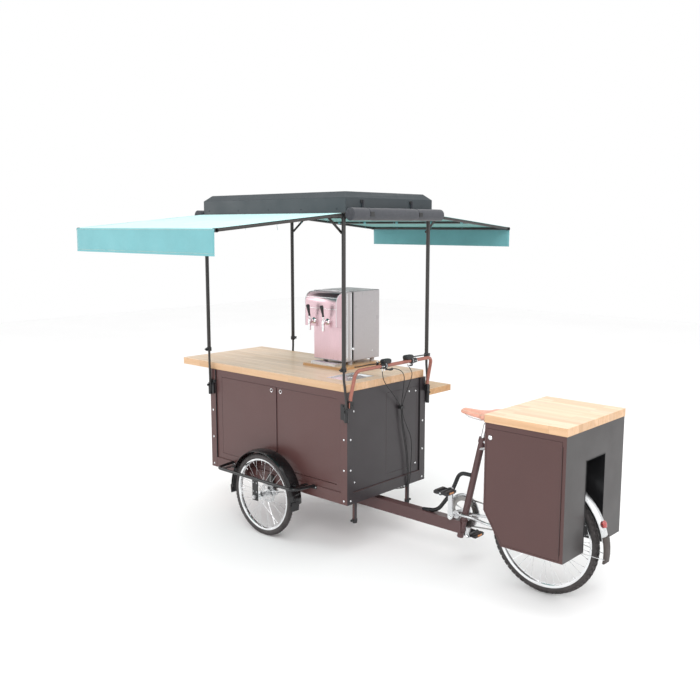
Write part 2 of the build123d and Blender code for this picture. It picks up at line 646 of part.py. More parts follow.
# ---- dispenser --------------------------------------------------------------------------
def dispenser_cabinet():
    """Stainless body, recessed seal, door plate and four feet."""
    tank = block(DISP_X, (DISP_BACK, DISP_SEAL[0]), DISP_Z)
    tank = fillet(tank.edges().filter_by(Axis.Y), 6) - hollow(DISP_X, (DISP_BACK, DISP_SEAL[0]), DISP_Z, 1.5)
    seal_x = (DISP_X[0] + 9, DISP_X[1] - 9)
    seal_z = (DISP_Z[0] + 9, DISP_Z[1] - 9)
    seal = block(seal_x, DISP_SEAL, seal_z) - hollow(seal_x, DISP_SEAL, seal_z, 2)
    door_y = (DISP_SEAL[1], DISP_FACE)
    door = fillet(block(DISP_X, door_y, DISP_Z).edges().filter_by(Axis.Y), 6) - hollow(DISP_X, door_y, DISP_Z, 1.5)
    feet = []
    for x in (DISP_X[0] + 35, DISP_X[1] - 35):
        for y in (DISP_BACK + 35, DISP_FACE - 75):
            feet.append(rod((x, y, COUNTER_TOP + BOARD_T), (x, y, DISP_Z[0]), 16))
    lock = rod((DISP_X[0] - 3, -106.5, 1212), (DISP_X[0] + 9, -106.5, 1212), 8)
    return [tank, seal, door, lock] + feet


def dispenser_hood():
    """Rounded tap tower above a splash plate, with two tap bodies."""
    x = (DISP_X[0] + 4, DISP_X[1] - 4)
    hood_z = (HOOD_Z, DISP_Z[1] - 8)
    hood = block(x, (DISP_FACE, HOOD_FRONT), hood_z)
    top_front = hood.edges().filter_by(Axis.X).filter_by(lambda e: e.center().Y > 0 and e.center().Z > 1500)
    hood = fillet(top_front, 62)
    core = hollow(x, (DISP_FACE, HOOD_FRONT), hood_z, 1.5)
    core_edge = core.edges().filter_by(Axis.X).filter_by(lambda e: e.center().Y > 0 and e.center().Z > 1500)
    hood -= fillet(core_edge, 61)
    splash = block(x, (DISP_FACE, DISP_FACE + 4), (DISP_Z[0] + 6, HOOD_Z))
    taps = []
    for at in TAP_X:
        tap = rod((at, HOOD_FRONT, 1402), (at, HOOD_FRONT + 34, 1402), 10)
        tap += rod((at, HOOD_FRONT + 34, 1384), (at, HOOD_FRONT + 34, 1416), 12)
        tap += rod((at, HOOD_FRONT + 34, 1340), (at, HOOD_FRONT + 34, 1384), 7)
        taps.append(tap)
    return [hood, splash] + taps


def tap_lever(at):
    """Tall handle above one tap."""
    base = Vector(at, HOOD_FRONT + 34, TAP_PIVOT_Z)
    grip = rod(tuple(base), tuple(base + Vector(0, 6, 26)), 6)
    grip += loft([Plane(origin=base + Vector(0, 6, 24), z_dir=(0, 0.2, 1)) * Circle(7),
                  Plane(origin=base + Vector(0, 20, 92), z_dir=(0, 0.2, 1)) * Circle(12)])
    return grip + rod((at - 7, base.Y, base.Z), (at + 7, base.Y, base.Z), 4)


def dispenser_board():
    board = block(BOARD_X, BOARD_Y, (COUNTER_TOP, COUNTER_TOP + BOARD_T))
    return fillet(board.edges().filter_by(Axis.Z), 5)


def side_shelf():
    """Folding shelf on the right side, with its hinge barrels below the inner edge."""
    slab = fillet(block(SHELF_X, SHELF_Y, SHELF_Z).edges().filter_by(Axis.Z), 6)
    y = SHELF_Y[1]
    for x in (SHELF_X[0] + 50, SHELF_X[1] - 110):
        slab += rod((x, y, SHELF_Z[0] - 3), (x + 60, y, SHELF_Z[0] - 3), 3.5)
    return slab


def support_leg(side):
    """Drop leg with a foot pad."""
    leg = rod((LEG_X, LEG_Y, LEG_FOOT_Z + 6), (LEG_X, LEG_Y, 500), LEG_R)
    leg += rod((LEG_X, LEG_Y, LEG_FOOT_Z), (LEG_X, LEG_Y, LEG_FOOT_Z + 6), 15)
    return mirrored(leg, side)


# ---- rear frame -------------------------------------------------------------------------
SEAT_AXIS = (Vector(*SEAT_TUBE_HEAD) - Vector(*SEAT_TUBE_FOOT)).normalized()


def seat_core(radius=SEAT_TUBE_R):
    """Solid cylinder that fills the seat tube."""
    return rod(SEAT_TUBE_FOOT, SEAT_TUBE_HEAD, radius)


def on_seat_axis(height):
    """Point of the seat tube's axis at a height above ground."""
    foot = Vector(*SEAT_TUBE_FOOT)
    return foot + SEAT_AXIS * ((height - foot.Z) / SEAT_AXIS.Z)


def main_beam():
    """Rectangular tube from the seat tube to the steering head, with the kingpin welded on."""
    x = (SEAT_TUBE_FOOT[0] - 20, KINGPIN_X + 40)
    tube = block(x, (-BEAM_HALF, BEAM_HALF), BEAM_Z)
    bore = block((x[0] - 1, x[1] - 4), (-BEAM_HALF + 3, BEAM_HALF - 3), (BEAM_Z[0] + 3, BEAM_Z[1] - 3))
    tube = tube - bore - seat_core() - rod((KINGPIN_X, 0, 150), (KINGPIN_X, 0, 320), KINGPIN_R)
    tube = max(tube.solids(), key=lambda solid: solid.volume)
    pin = rod((KINGPIN_X, 0, BEAM_Z[0]), (KINGPIN_X, 0, FLOOR_Z + 16), KINGPIN_R)
    washer = rod((KINGPIN_X, 0, BEAM_Z[1]), (KINGPIN_X, 0, CROSS_Z[0] - 0.3), 28, KINGPIN_R)
    nut = rod((KINGPIN_X, 0, FLOOR_Z + 0.3), (KINGPIN_X, 0, FLOOR_Z + 14), 24, KINGPIN_R)
    return [tube, pin, washer, nut]


def seat_tube():
    """Tube with its foot cap, the shim for the post and the binder clamp."""
    shell = rod(SEAT_TUBE_FOOT, SEAT_TUBE_HEAD, SEAT_TUBE_R, SEAT_TUBE_R - 2.5)
    cap_at = Vector(*SEAT_TUBE_FOOT)
    cap = rod(tuple(cap_at - SEAT_AXIS * 4), tuple(cap_at), SEAT_TUBE_R)
    head = Vector(*SEAT_TUBE_HEAD)
    bore = SEAT_POST_R + RUN_GAP
    shim = rod(tuple(head - SEAT_AXIS * 120), tuple(head), SEAT_TUBE_R - 2.5, bore)
    collar = rod(tuple(head - SEAT_AXIS * 24), tuple(head + SEAT_AXIS * 4), SEAT_TUBE_R + 4)
    lug = Vector(-SEAT_TUBE_R - 8, 0, 0) + head - SEAT_AXIS * 10
    collar += rod(tuple(lug - Vector(0, 16, 0)), tuple(lug + Vector(0, 30, 0)), 7)
    collar = collar - rod(tuple(head - SEAT_AXIS * 24), tuple(head), SEAT_TUBE_R)
    collar -= rod(tuple(head - SEAT_AXIS * 30), tuple(head + SEAT_AXIS * 9), bore)
    return [shell, cap, shim, collar]


def curved_brace():
    """S-shaped tube from the beam's top to the seat tube."""
    path = [(-290, 0, 284), (-400, 0, 300), (-500, 0, 432), (-560, 0, 572), (-690, 0, 574)]
    tube = bent(path, 12, [110, 120, 55], 10)
    tube = tube - seat_core() - block((-700, 0), (-40, 40), (BEAM_Z[0], BEAM_Z[1]))
    return max(tube.solids(), key=lambda solid: solid.volume)


def rear_stays():
    """Bottom bracket shell, chain stays, dropouts, cabinet struts and rack rails, welded up."""
    rail_start = on_seat_axis(745)
    pieces = [rod((BB_X, -BB_HALF, BB_Z), (BB_X, BB_HALF, BB_Z), BB_R)]
    for side in SIDES:
        stay = bent([(BB_X, side * 25, BB_Z), (-690, side * 32, BB_Z + 4), (-800, side * STAY_Y, REAR_R - 3),
                     (REAR_X - 8, side * STAY_Y, REAR_R)], 9, 80)
        strut = rod((REAR_X, side * STAY_Y, REAR_R), (REAR_X, side * STAY_Y, TUNNEL_TOP - 10), 8)
        rail = bent([(rail_start.X, side * 8, rail_start.Z), (-800, side * 30, 775), (-960, side * 44, 821),
                     (-1390, side * 44, 821)], 9.5, 120)
        dropout = block((REAR_X - 26, REAR_X + 26), (side * (STAY_Y - 4), side * (STAY_Y + 4)),
                        (REAR_R - 24, REAR_R + 24))
        pieces += [dropout, stay, strut, rail]
    for x in (REAR_X, -1380, -1000):
        pieces.append(rod((x, -STAY_Y - 7, 821), (x, STAY_Y + 7, 821), 9))
    voids = seat_core() + rod((BB_X, -60, BB_Z), (BB_X, 60, BB_Z), 8.5 + RUN_GAP)
    voids += rod((REAR_X, -100, REAR_R), (REAR_X, 100, REAR_R), AXLE_R)
    return [piece - voids for piece in stack(*pieces)]


def rear_axle():
    """Axle with its nuts and the disc caliper on the left dropout."""
    bar = rod((REAR_X, -88, REAR_R), (REAR_X, 88, REAR_R), AXLE_R)
    pieces = [bar]
    for side in SIDES:
        pieces.append(rod((REAR_X, side * (STAY_Y + 9.2), REAR_R), (REAR_X, side * (STAY_Y + 19), REAR_R), 12, AXLE_R))
    jaw = block((REAR_X + 48, REAR_X + 96), (38, 62), (REAR_R + 38, REAR_R + 84))
    jaw -= block((REAR_X, REAR_X + 88), (45.5, 50.5), (REAR_R, REAR_R + 90))
    arm = block((REAR_X + 27, REAR_X + 60), (62, 68), (REAR_R + 12, REAR_R + 60))
    return pieces + [jaw + arm]


def rear_mudguard():
    """Arch with its rubber tail and wire stays."""
    centre = (REAR_X, 0, REAR_R)
    shell = turned(fender_section(TAIL_R - 4, 33, 10, 2), centre, 25, 168)
    tail = turned(fender_section(TAIL_R, 33, 14, 2.5), centre, 168.2, 189)
    wires = []
    for side in SIDES:
        end = (REAR_X - (TAIL_R - 7) * math.cos(math.radians(5)), side * 35.2, REAR_R - 32)
        wires.append(rod((REAR_X, side * (STAY_Y + 26), REAR_R), end, 2))
    return [shell, tail] + wires


def rear_reflector():
    """Round red lens on the mudguard."""
    at = math.radians(157)
    base = Vector(REAR_X + (TAIL_R - 3.7) * math.cos(at), 0, REAR_R + (TAIL_R - 3.7) * math.sin(at))
    out = Vector(math.cos(at), 0, math.sin(at))
    return rod(tuple(base), tuple(base + out * 12), 20)


def chain():
    """Closed chain loop drawn as a plain band round ring and cog."""
    def loop(extra):
        front = Pos(BB_X, BB_Z) * Circle(RING_PITCH_R + extra)
        back = Pos(REAR_X, REAR_R) * Circle(COG_PITCH_R + extra)
        return make_hull(front.edges() + back.edges())
    band = extrude(loop(CHAIN_HALF) - loop(-CHAIN_HALF), 8)
    return Pos(0, CHAIN_Y + 4, 0) * Rot(90, 0, 0) * band


def crank_arms():
    """Spindle, two arms and the spider on the right."""
    pieces = rod((BB_X, -ARM_Y - 6, BB_Z), (BB_X, ARM_Y + 6, BB_Z), 8.5)
    for side, up in ((1, 1), (-1, -1)):
        outline = make_hull((Circle(16).edges() + (Pos(0, up * CRANK_LEN) * Circle(13)).edges()))
        arm = Rot(90, 0, 0) * extrude(outline, 14)
        pieces += Pos(BB_X, side * ARM_Y + 7, BB_Z) * arm
        end = (BB_X, side * (ARM_Y + 7), BB_Z + up * CRANK_LEN)
        pieces += rod((end[0], side * (ARM_Y - 4), end[2]), (end[0], side * (ARM_Y + 108), end[2]), 5)
    spider = rod((BB_X, -63, BB_Z), (BB_X, -57.2, BB_Z), 30)
    for i in range(5):
        at = 2 * math.pi * i / 5 + math.pi / 2
        tip = (BB_X + 70 * math.cos(at), -60, BB_Z + 70 * math.sin(at))
        spider += rod((BB_X, -60, BB_Z), tip, 2.8)
    return pieces + spider


def chainring():
    """Toothless blank inside the chain, with the bash guard outside it."""
    blank = rod((BB_X, CHAIN_Y - 1.5, BB_Z), (BB_X, CHAIN_Y + 1.5, BB_Z), RING_PITCH_R - CHAIN_HALF - 0.6, 62)
    guard = rod((BB_X, -57, BB_Z), (BB_X, -53.6, BB_Z), 108, 60)
    posts = []
    for i in range(5):
        at = 2 * math.pi * i / 5 + math.pi / 2
        x, z = BB_X + 72 * math.cos(at), BB_Z + 72 * math.sin(at)
        posts.append(rod((x, -53.6, z), (x, CHAIN_Y - 1.5, z), 5))
    return [blank, guard] + posts


def pedal(side, up):
    """Platform pedal that turns on the crank's pin."""
    z = BB_Z + up * CRANK_LEN
    body = block((BB_X - 50, BB_X + 50), (ARM_Y + 12, ARM_Y + 106), (z - 13, z + 13))
    body = fillet(body.edges().filter_by(Axis.Z), 14)
    for x in (BB_X - 28, BB_X + 28):
        body -= block((x - 12, x + 12), (ARM_Y + 26, ARM_Y + 92), (z - 20, z + 20))
    body -= rod((BB_X, ARM_Y, z), (BB_X, ARM_Y + 130, z), 5 + RUN_GAP)
    return mirrored(body, side)


def cab_outline(inset=0):
    """Side outline of the rear cabinet, inset evenly."""
    (rear, front), (low, high) = CAB_X, CAB_Z
    run = front - CAB_CUT_X
    rise = CAB_CUT_Z - low
    shift = inset * (math.hypot(run, rise) - rise) / run
    return [(rear + inset, low + inset), (CAB_CUT_X - inset * (math.hypot(run, rise) - run) / rise, low + inset),
            (front - inset, CAB_CUT_Z + shift), (front - inset, high - inset), (rear + inset, high - inset)]


def cab_door_outline(gap=0):
    """Door outline in the cabinet's side."""
    pts = cab_outline(10 + gap)
    top = 968 - gap
    rear = -1399 + gap
    return [(rear, pts[0][1]), pts[1], pts[2], (pts[2][0], top), (rear, top)]


def rear_cabinet():
    """Sheet shell with a wheel tunnel through its middle and a door opening in each side."""
    outer = prism_xz(cab_outline(), -CAB_HALF, CAB_HALF)
    wall = CAB_WALL
    inner = prism_xz(cab_outline(wall), -CAB_HALF + wall, CAB_HALF - wall)
    sleeve = block((-1500, -900), (-TUNNEL_HALF - wall, TUNNEL_HALF + wall), (300, TUNNEL_TOP + wall))
    tunnel = block((-1500, -900), (-TUNNEL_HALF, TUNNEL_HALF), (300, TUNNEL_TOP))
    shell = outer - (inner - sleeve) - tunnel
    for side in SIDES:
        hole = prism_xz(cab_door_outline(), CAB_HALF - wall - 1, CAB_HALF + 1)
        shell -= mirrored(hole, side)
    length = (-1500, -900)
    cells = [block(length, (-TUNNEL_HALF, TUNNEL_HALF), (TUNNEL_TOP, TUNNEL_TOP + wall))]
    for x in ((-1500, -1418), (-945, -900)):
        cells.append(block(x, (-TUNNEL_HALF, TUNNEL_HALF), (TUNNEL_TOP, 1000)))
    cells.append(block(length, (-TUNNEL_HALF, TUNNEL_HALF), (900, 1000)))
    for side in SIDES:
        cells.append(block(length, (side * TUNNEL_HALF, side * (TUNNEL_HALF + wall)), (300, 1000)))
        skin = (side * (CAB_HALF - wall), side * CAB_HALF)
        for x in ((-1500, -1399), (-953, -900)):
            cells.append(block(x, skin, (300, 1000)))
        for z in ((968, 1000), (300, 347)):
            cells.append(block(length, skin, z))
        cells.append(block(length, skin, (300, 1000)))
        half = (0, side * 400)
        cells.append(block((-1500, -1418), half, (300, 1000)))
        cells.append(block(length, half, (995, 1000)))
        cells.append(block(length, half, (300, 339)))
        cells.append(block(length, half, (CAB_CUT_Z, 1000)))
        cells.append(block(length, half, (300, 1000)))
    return cut_up(shell, cells)


def cabinet_door(side):
    """Flush side door with its hinge barrel and lock."""
    gap = 1.5
    leaf = prism_xz(cab_door_outline(gap), CAB_HALF - CAB_WALL, CAB_HALF)
    hinge_x = -1399
    low, high = 380, 940
    strap = block((hinge_x + gap, hinge_x + 14), (CAB_HALF, CAB_HALF + 1.2), (low, high))
    barrel = rod((hinge_x, CAB_HALF + 2.9, low), (hinge_x, CAB_HALF + 2.9, high), 2.5)
    lock = rod((-976, CAB_HALF - CAB_WALL - 12, 919), (-976, CAB_HALF + 2, 919), 9)
    leaf += [strap + block((hinge_x - 0.5, hinge_x + 4), (CAB_HALF + 0.6, CAB_HALF + 1.2), (low, high)), barrel]
    leaf -= lock
    return [mirrored(piece, side) for piece in (leaf, lock)]


def cabinet_top():
    slab = block((CAB_X[0] - 4, CAB_X[1] + 6), (-CAB_HALF - 4, CAB_HALF + 4), (CAB_Z[1], CAB_TOP))
    slab = fillet(slab.edges().filter_by(Axis.Z), 6)
    return fillet(slab.faces().sort_by(Axis.Z)[-1].edges(), 2.5)


def seat_post():
    head = Vector(*SEAT_TUBE_HEAD)
    return rod(tuple(head - SEAT_AXIS * 190), tuple(head + SEAT_AXIS * 96), SEAT_POST_R, SEAT_POST_R - 2)


def saddle():
    """Padded top, a plain loft from the nose to the wide rear."""
    rings = []
    for x, half, low, high in ((-562, 14, 930, 950), (-600, 24, 932, 972), (-680, 34, 932, 984),
                               (-760, 74, 928, 990), (-810, 92, 930, 996), (-840, 70, 948, 996)):
        level = (low + high) / 2
        rings.append(Plane(origin=(x, 0, level), x_dir=(0, 1, 0), z_dir=(-1, 0, 0)) * Ellipse(half, (high - low) / 2))
    top = loft(rings)
    mount = Vector(*SEAT_TUBE_HEAD) + SEAT_AXIS * 96
    clamp = rod(tuple(mount), tuple(mount + SEAT_AXIS * 34), SEAT_POST_R)
    return top + clamp


def main():
    os.makedirs("parts", exist_ok=True)
    save("box_panels", box_panels())
    save("box_frame", box_frame())
    save("rivets", rivets())
    save("counter_top", counter_top())
    save("steel_inset", steel_inset())
    front_door, rear_door = sliding_doors()
    save("sliding_door_front", front_door)
    save("sliding_door_rear", rear_door)
    save("axle_beam", axle_beam())
    save("wheel_guards", wheel_guards())
    save("front_axles", front_axles())
    save("front_mudguards", front_mudguards())
    for side, word in ((1, "left"), (-1, "right")):
        centre = (FRONT_X, side * FRONT_Y, FRONT_R)
        tyre, rest = wheel(centre, FRONT_R, FRONT_TYRE_R, 44, 26, 24, 0.5)
        save(f"front_tyre_{word}", tyre)
        save(f"front_wheel_{word}", rest, brake_disc(centre, side * (418 - FRONT_Y), 66))
        save(f"awning_frame_{word}", awning_frame(side))
        save(f"awning_fabric_{word}", awning_fabric(side))
        save(f"awning_valance_{word}", awning_valance(side))
        save(f"awning_braces_{word}", awning_braces(side))
        save(f"support_leg_{word}", support_leg(side))
        save(f"cabinet_door_{word}", cabinet_door(side))
        save(f"pedal_{word}", pedal(side, side))
    save("brake_lever_left", brake_lever(135, 1))
    save("brake_lever_right", brake_lever(-190, -1))
    save("canopy_poles", canopy_poles())
    save("pole_brackets", pole_brackets())
    save("canopy_roof", canopy_roof())
    save("rolled_curtains", rolled_curtains())
    save("handlebar", handlebar())
    save("handlebar_fittings", handlebar_fittings())
    save("brake_cables", cable("left", LEFT_CABLE), cable("rear", REAR_CABLE), cable("right", RIGHT_CABLE))
    save("dispenser_cabinet", dispenser_cabinet())
    save("dispenser_hood", dispenser_hood())
    save("dispenser_board", dispenser_board())
    for at, word in zip(TAP_X, ("rear", "front")):
        save(f"tap_lever_{word}", tap_lever(at))
    save("side_shelf", side_shelf())
    save("main_beam", main_beam())
    save("seat_tube", seat_tube())
    save("curved_brace", curved_brace())
    save("rear_stays", rear_stays())
    save("rear_axle", rear_axle())
    save("rear_mudguard", rear_mudguard())
    save("rear_reflector", rear_reflector())
    save("chain", chain())
    save("crank_arms", crank_arms())
    save("chainring", chainring())
    save("rear_cabinet", rear_cabinet())
    save("cabinet_top", cabinet_top())
    save("seat_post", seat_post())
    save("saddle", saddle())
    centre = (REAR_X, 0, REAR_R)
    tyre, rest = wheel(centre, REAR_R, REAR_TYRE_R, 56, 28, 28, 0.5)
    cog = turned(Pos((15 + COG_PITCH_R - CHAIN_HALF - 0.6) / 2, CHAIN_Y) * Rectangle(
        COG_PITCH_R - CHAIN_HALF - 0.6 - 15, 3), centre)
    save("rear_tyre", tyre)
    save("rear_wheel", rest, brake_disc(centre, 48, 80), cog)


if __name__ == "__main__":
    main()
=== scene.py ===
from math import acos, atan2, copysign, cos, exp, pi, radians, sin, sqrt

import bmesh
import bpy
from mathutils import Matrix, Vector, noise


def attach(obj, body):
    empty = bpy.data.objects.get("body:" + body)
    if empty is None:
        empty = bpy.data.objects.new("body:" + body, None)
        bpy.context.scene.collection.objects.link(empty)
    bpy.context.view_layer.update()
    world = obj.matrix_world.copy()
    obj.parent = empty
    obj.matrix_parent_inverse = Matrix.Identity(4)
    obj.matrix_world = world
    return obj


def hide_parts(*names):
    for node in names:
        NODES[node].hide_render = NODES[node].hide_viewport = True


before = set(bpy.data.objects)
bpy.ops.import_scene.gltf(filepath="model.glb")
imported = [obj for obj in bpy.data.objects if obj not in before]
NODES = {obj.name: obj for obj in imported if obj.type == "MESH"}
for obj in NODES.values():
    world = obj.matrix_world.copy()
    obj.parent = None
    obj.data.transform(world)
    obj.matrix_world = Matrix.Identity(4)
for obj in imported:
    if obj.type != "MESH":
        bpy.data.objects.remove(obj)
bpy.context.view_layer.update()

MID_X = 60          # millimetres from the box's rear face to the row's origin
SIDES = (1, -1)
WORDS = {1: "left", -1: "right"}
Y = Vector((0, 1, 0))


def P(x, y, z):
    """A point in the part's modelling frame, in millimetres, as metres in the row frame."""
    return Vector(((x - MID_X) / 1000, y / 1000, z / 1000))


def turns(count, start=0.0):
    """Angles evenly round a circle."""
    return [2 * pi * k / count + start for k in range(count)]


def spread(low, high, count):
    """Evenly spaced values from low to high."""
    return [low + (high - low) * k / (count - 1) for k in range(count)]


def radial(a):
    """Unit vector at angle a in the XZ plane."""
    return Vector((cos(a), 0, sin(a)))


def circle(centre, u, v, radius, sides, flat=1.0):
    """Points of a circle or ellipse in the plane of u and v."""
    return [centre + (u * cos(a) * flat + v * sin(a)) * radius for a in turns(sides)]


def signed_power(value, power):
    """Power of a value's size, with its sign: squares off a circle."""
    return copysign(abs(value) ** power, value)


def band(inner, outer, half):
    """Profile of a plain sleeve to turn."""
    return [(inner, -half), (outer, -half), (outer, half), (inner, half)]


# ---- materials --------------------------------------------------------------------------
class Shader:
    """Adds and links the nodes of one material."""

    def __init__(self, name, roughness=0.5, metallic=0.0, **sockets):
        self.mat = bpy.data.materials.new(name)
        self.mat.use_nodes = True
        self.tree = self.mat.node_tree
        self.bsdf = self.tree.nodes["Principled BSDF"]
        self.bsdf.inputs["Roughness"].default_value = roughness
        self.bsdf.inputs["Metallic"].default_value = metallic
        for socket, value in sockets.items():
            self.bsdf.inputs[socket.replace("_", " ")].default_value = value
        self.coord = self.node("ShaderNodeTexCoord").outputs["Object"]

    def node(self, kind, inputs=None, **settings):
        made = self.tree.nodes.new(kind)
        for key, value in settings.items():
            setattr(made, key, value)
        for key, value in (inputs or {}).items():
            if isinstance(value, bpy.types.NodeSocket):
                self.tree.links.new(value, made.inputs[key])
            else:
                made.inputs[key].default_value = value
        return made

    def stretched(self, scale):
        return self.node("ShaderNodeMapping", {"Vector": self.coord, "Scale": scale}).outputs[0]

    def noise(self, scale, detail=3.0, vector=None, rough=0.55):
        made = self.node("ShaderNodeTexNoise", {"Vector": vector or self.coord, "Scale": scale,
                                                "Detail": detail, "Roughness": rough})
        return made.outputs["Fac"]

    def ramp(self, factor, *stops):
        made = self.node("ShaderNodeValToRGB", {"Fac": factor})
        line = made.color_ramp
        while len(line.elements) < len(stops):
            line.elements.new(0.5)
        for element, (place, colour) in zip(line.elements, stops):
            element.position = place
            element.color = colour if len(colour) == 4 else (*colour, 1)
        return made.outputs["Color"]

    def grey(self, factor, low, high, start=0.3, end=0.7):
        return self.ramp(factor, (start, (low,) * 3), (end, (high,) * 3))

    def multiply(self, a, b):
        made = self.node("ShaderNodeMix", data_type="RGBA", blend_type="MULTIPLY")
        made.inputs[0].default_value = 1.0
        self.tree.links.new(a, made.inputs[6])
        self.tree.links.new(b, made.inputs[7])
        return made.outputs[2]

    def mixed(self, factor, a, b):
        made = self.node("ShaderNodeMix", data_type="RGBA")
        self.tree.links.new(factor, made.inputs[0])
        for value, socket in ((a, made.inputs[6]), (b, made.inputs[7])):
            if isinstance(value, bpy.types.NodeSocket):
                self.tree.links.new(value, socket)
            else:
                socket.default_value = (*value, 1)
        return made.outputs[2]

    def facing(self, axis, start, end):
        """0 to 1 as the object-space normal's part along axis goes from start to end."""
        normal = self.node("ShaderNodeTexCoord").outputs["Normal"]
        part = self.node("ShaderNodeSeparateXYZ", {0: normal}).outputs[axis]
        limits = {"Value": part, "From Min": start, "From Max": end}
        return self.node("ShaderNodeMapRange", limits).outputs[0]

    def bump(self, height, strength, distance, under=None):
        inputs = {"Height": height, "Strength": strength, "Distance": distance}
        if under:
            inputs["Normal"] = under
        return self.node("ShaderNodeBump", inputs).outputs["Normal"]

    def finish(self, colour=None, roughness=None, normal=None):
        for socket, value in (("Base Color", colour), ("Roughness", roughness), ("Normal", normal)):
            if value:
                self.tree.links.new(value, self.bsdf.inputs[socket])
        return self.mat


def shade(colour, factor):
    return tuple(min(1.0, channel * factor) for channel in colour)


def rgb(red, green, blue):
    """Linear colour from 0 to 255 display values."""
    return tuple(c / 255 / 12.92 if c <= 10 else ((c / 255 + 0.055) / 1.055) ** 2.4
                 for c in (red, green, blue))


def powder(name, colour, rough=(0.34, 0.46), grain=900, wear=0.06, rear=None, tunnel_shade=None):
    """Powder-coated sheet: fine orange peel, cloudy tone and scuffed gloss.

    rear gives painted shade: a darker grey on the faces that look to -X; tunnel gives painted shade: near
    black on the lining round the wheel."""
    s = Shader(name)
    cloud_and_shade = s.ramp(s.noise(2.2, 5), (0.25, shade(colour, 1 - wear)), (0.75, shade(colour, 1 + wear)))
    # Painted shade: the faces that look to -X are turned to the darker rear colour.
    if rear:
        cloud_and_shade = s.mixed(s.facing("X", -0.4, -0.7), cloud_and_shade, rear)
    if tunnel_shade:
        # Painted shade: near black on the lining round the wheel, where no light reaches.
        place = s.node("ShaderNodeSeparateXYZ", {0: s.coord}).outputs
        width = s.node("ShaderNodeMath", {0: place["Y"]}, operation="ABSOLUTE").outputs[0]
        beside = s.node("ShaderNodeMath", {0: width, 1: 0.1075}, operation="LESS_THAN").outputs[0]
        below = s.node("ShaderNodeMath", {0: place["Z"], 1: 0.8335}, operation="LESS_THAN").outputs[0]
        lining_shade_mask = s.node("ShaderNodeMath", {0: beside, 1: below}, operation="MULTIPLY").outputs[0]
        cloud_and_shade = s.mixed(lining_shade_mask, cloud_and_shade, tunnel_shade)
    speck = s.grey(s.noise(grain * 0.6, 2), 0.9, 1.06, 0.35, 0.65)
    rough_map = s.grey(s.noise(7, 6), rough[0], rough[1])
    normal = s.bump(s.noise(grain, 2), 0.12, 0.0004, s.bump(s.noise(4, 2), 0.05, 0.002))
    return s.finish(s.multiply(cloud_and_shade, speck), rough_map, normal)


def brushed(name, colour, axis=0, rough=(0.22, 0.36)):
    """Brushed stainless: long fine scratches along one axis."""
    s = Shader(name, metallic=1.0)
    scale = [900.0, 900.0, 900.0]
    scale[axis] = 9.0
    streak = s.noise(1, 3, s.stretched(scale))
    tone = s.multiply(s.ramp(s.noise(3, 3), (0.3, shade(colour, 0.93)), (0.7, shade(colour, 1.05))),
                      s.grey(streak, 0.88, 1.0))
    return s.finish(tone, s.grey(streak, *rough), s.bump(streak, 0.08, 0.0002))


def polished(name, colour, rough=(0.08, 0.2)):
    """Plated or polished metal with faint smears."""
    s = Shader(name, metallic=1.0)
    smear = s.noise(38, 6)
    tone = s.ramp(s.noise(9, 3), (0.3, shade(colour, 0.92)), (0.7, shade(colour, 1.04)))
    return s.finish(tone, s.grey(smear, *rough), s.bump(s.noise(420, 2), 0.03, 0.0002))


def oak(name, light, dark):
    """Glued strips of pale oak with running grain, pores and a clear coat."""
    s = Shader(name, Coat_Weight=0.15, Coat_Roughness=0.25)
    lots = {"Vector": s.coord, "Scale": 1.0, "Mortar Size": 0.0006, "Mortar Smooth": 0.2, "Bias": 0.0,
            "Brick Width": 0.46, "Row Height": 0.042}
    random_strip = s.node("ShaderNodeTexBrick", {**lots, "Color1": (0, 0, 0, 1), "Color2": (1, 1, 1, 1),
                                                 "Mortar": (0.5, 0.5, 0.5, 1)}, offset=0.37)
    strip = random_strip.outputs["Color"]
    joint = random_strip.outputs["Fac"]
    spread = s.node("ShaderNodeVectorMath", {0: strip, 1: (7.0, 13.0, 5.0)}, operation="MULTIPLY")
    shifted = s.node("ShaderNodeVectorMath", {0: s.stretched((1.6, 34, 34)), 1: strip,
                                              2: spread.outputs[0]}, operation="MULTIPLY_ADD")
    grain_noise = s.noise(1.0, 6, shifted.outputs[0], 0.62)
    rings = s.node("ShaderNodeTexWave", {"Vector": shifted.outputs[0], "Scale": 0.55, "Distortion": 7.0,
                                         "Detail": 3.0, "Detail Scale": 1.2}, bands_direction="Y")
    pores = s.noise(1.0, 2, s.stretched((60, 1500, 1500)))
    tone = s.ramp(grain_noise, (0.28, dark), (0.62, light))
    tone = s.multiply(tone, s.grey(rings.outputs["Fac"], 0.93, 1.0, 0.0, 0.8))
    tone = s.multiply(tone, s.grey(strip, 0.88, 1.0, 0.0, 1.0))
    tone = s.multiply(tone, s.grey(pores, 0.86, 1.0, 0.3, 0.45))
    tone = s.multiply(tone, s.grey(joint, 1.0, 0.72, 0.2, 0.9))
    edge = s.mixed(s.facing("Z", 0.8, 0.4), (1, 1, 1), (0.74, 0.64, 0.53))
    tone = s.multiply(tone, edge)
    normal = s.bump(pores, 0.12, 0.0003, s.bump(joint, -0.25, 0.0004))
    return s.finish(tone, s.grey(grain_noise, 0.52, 0.4), normal)


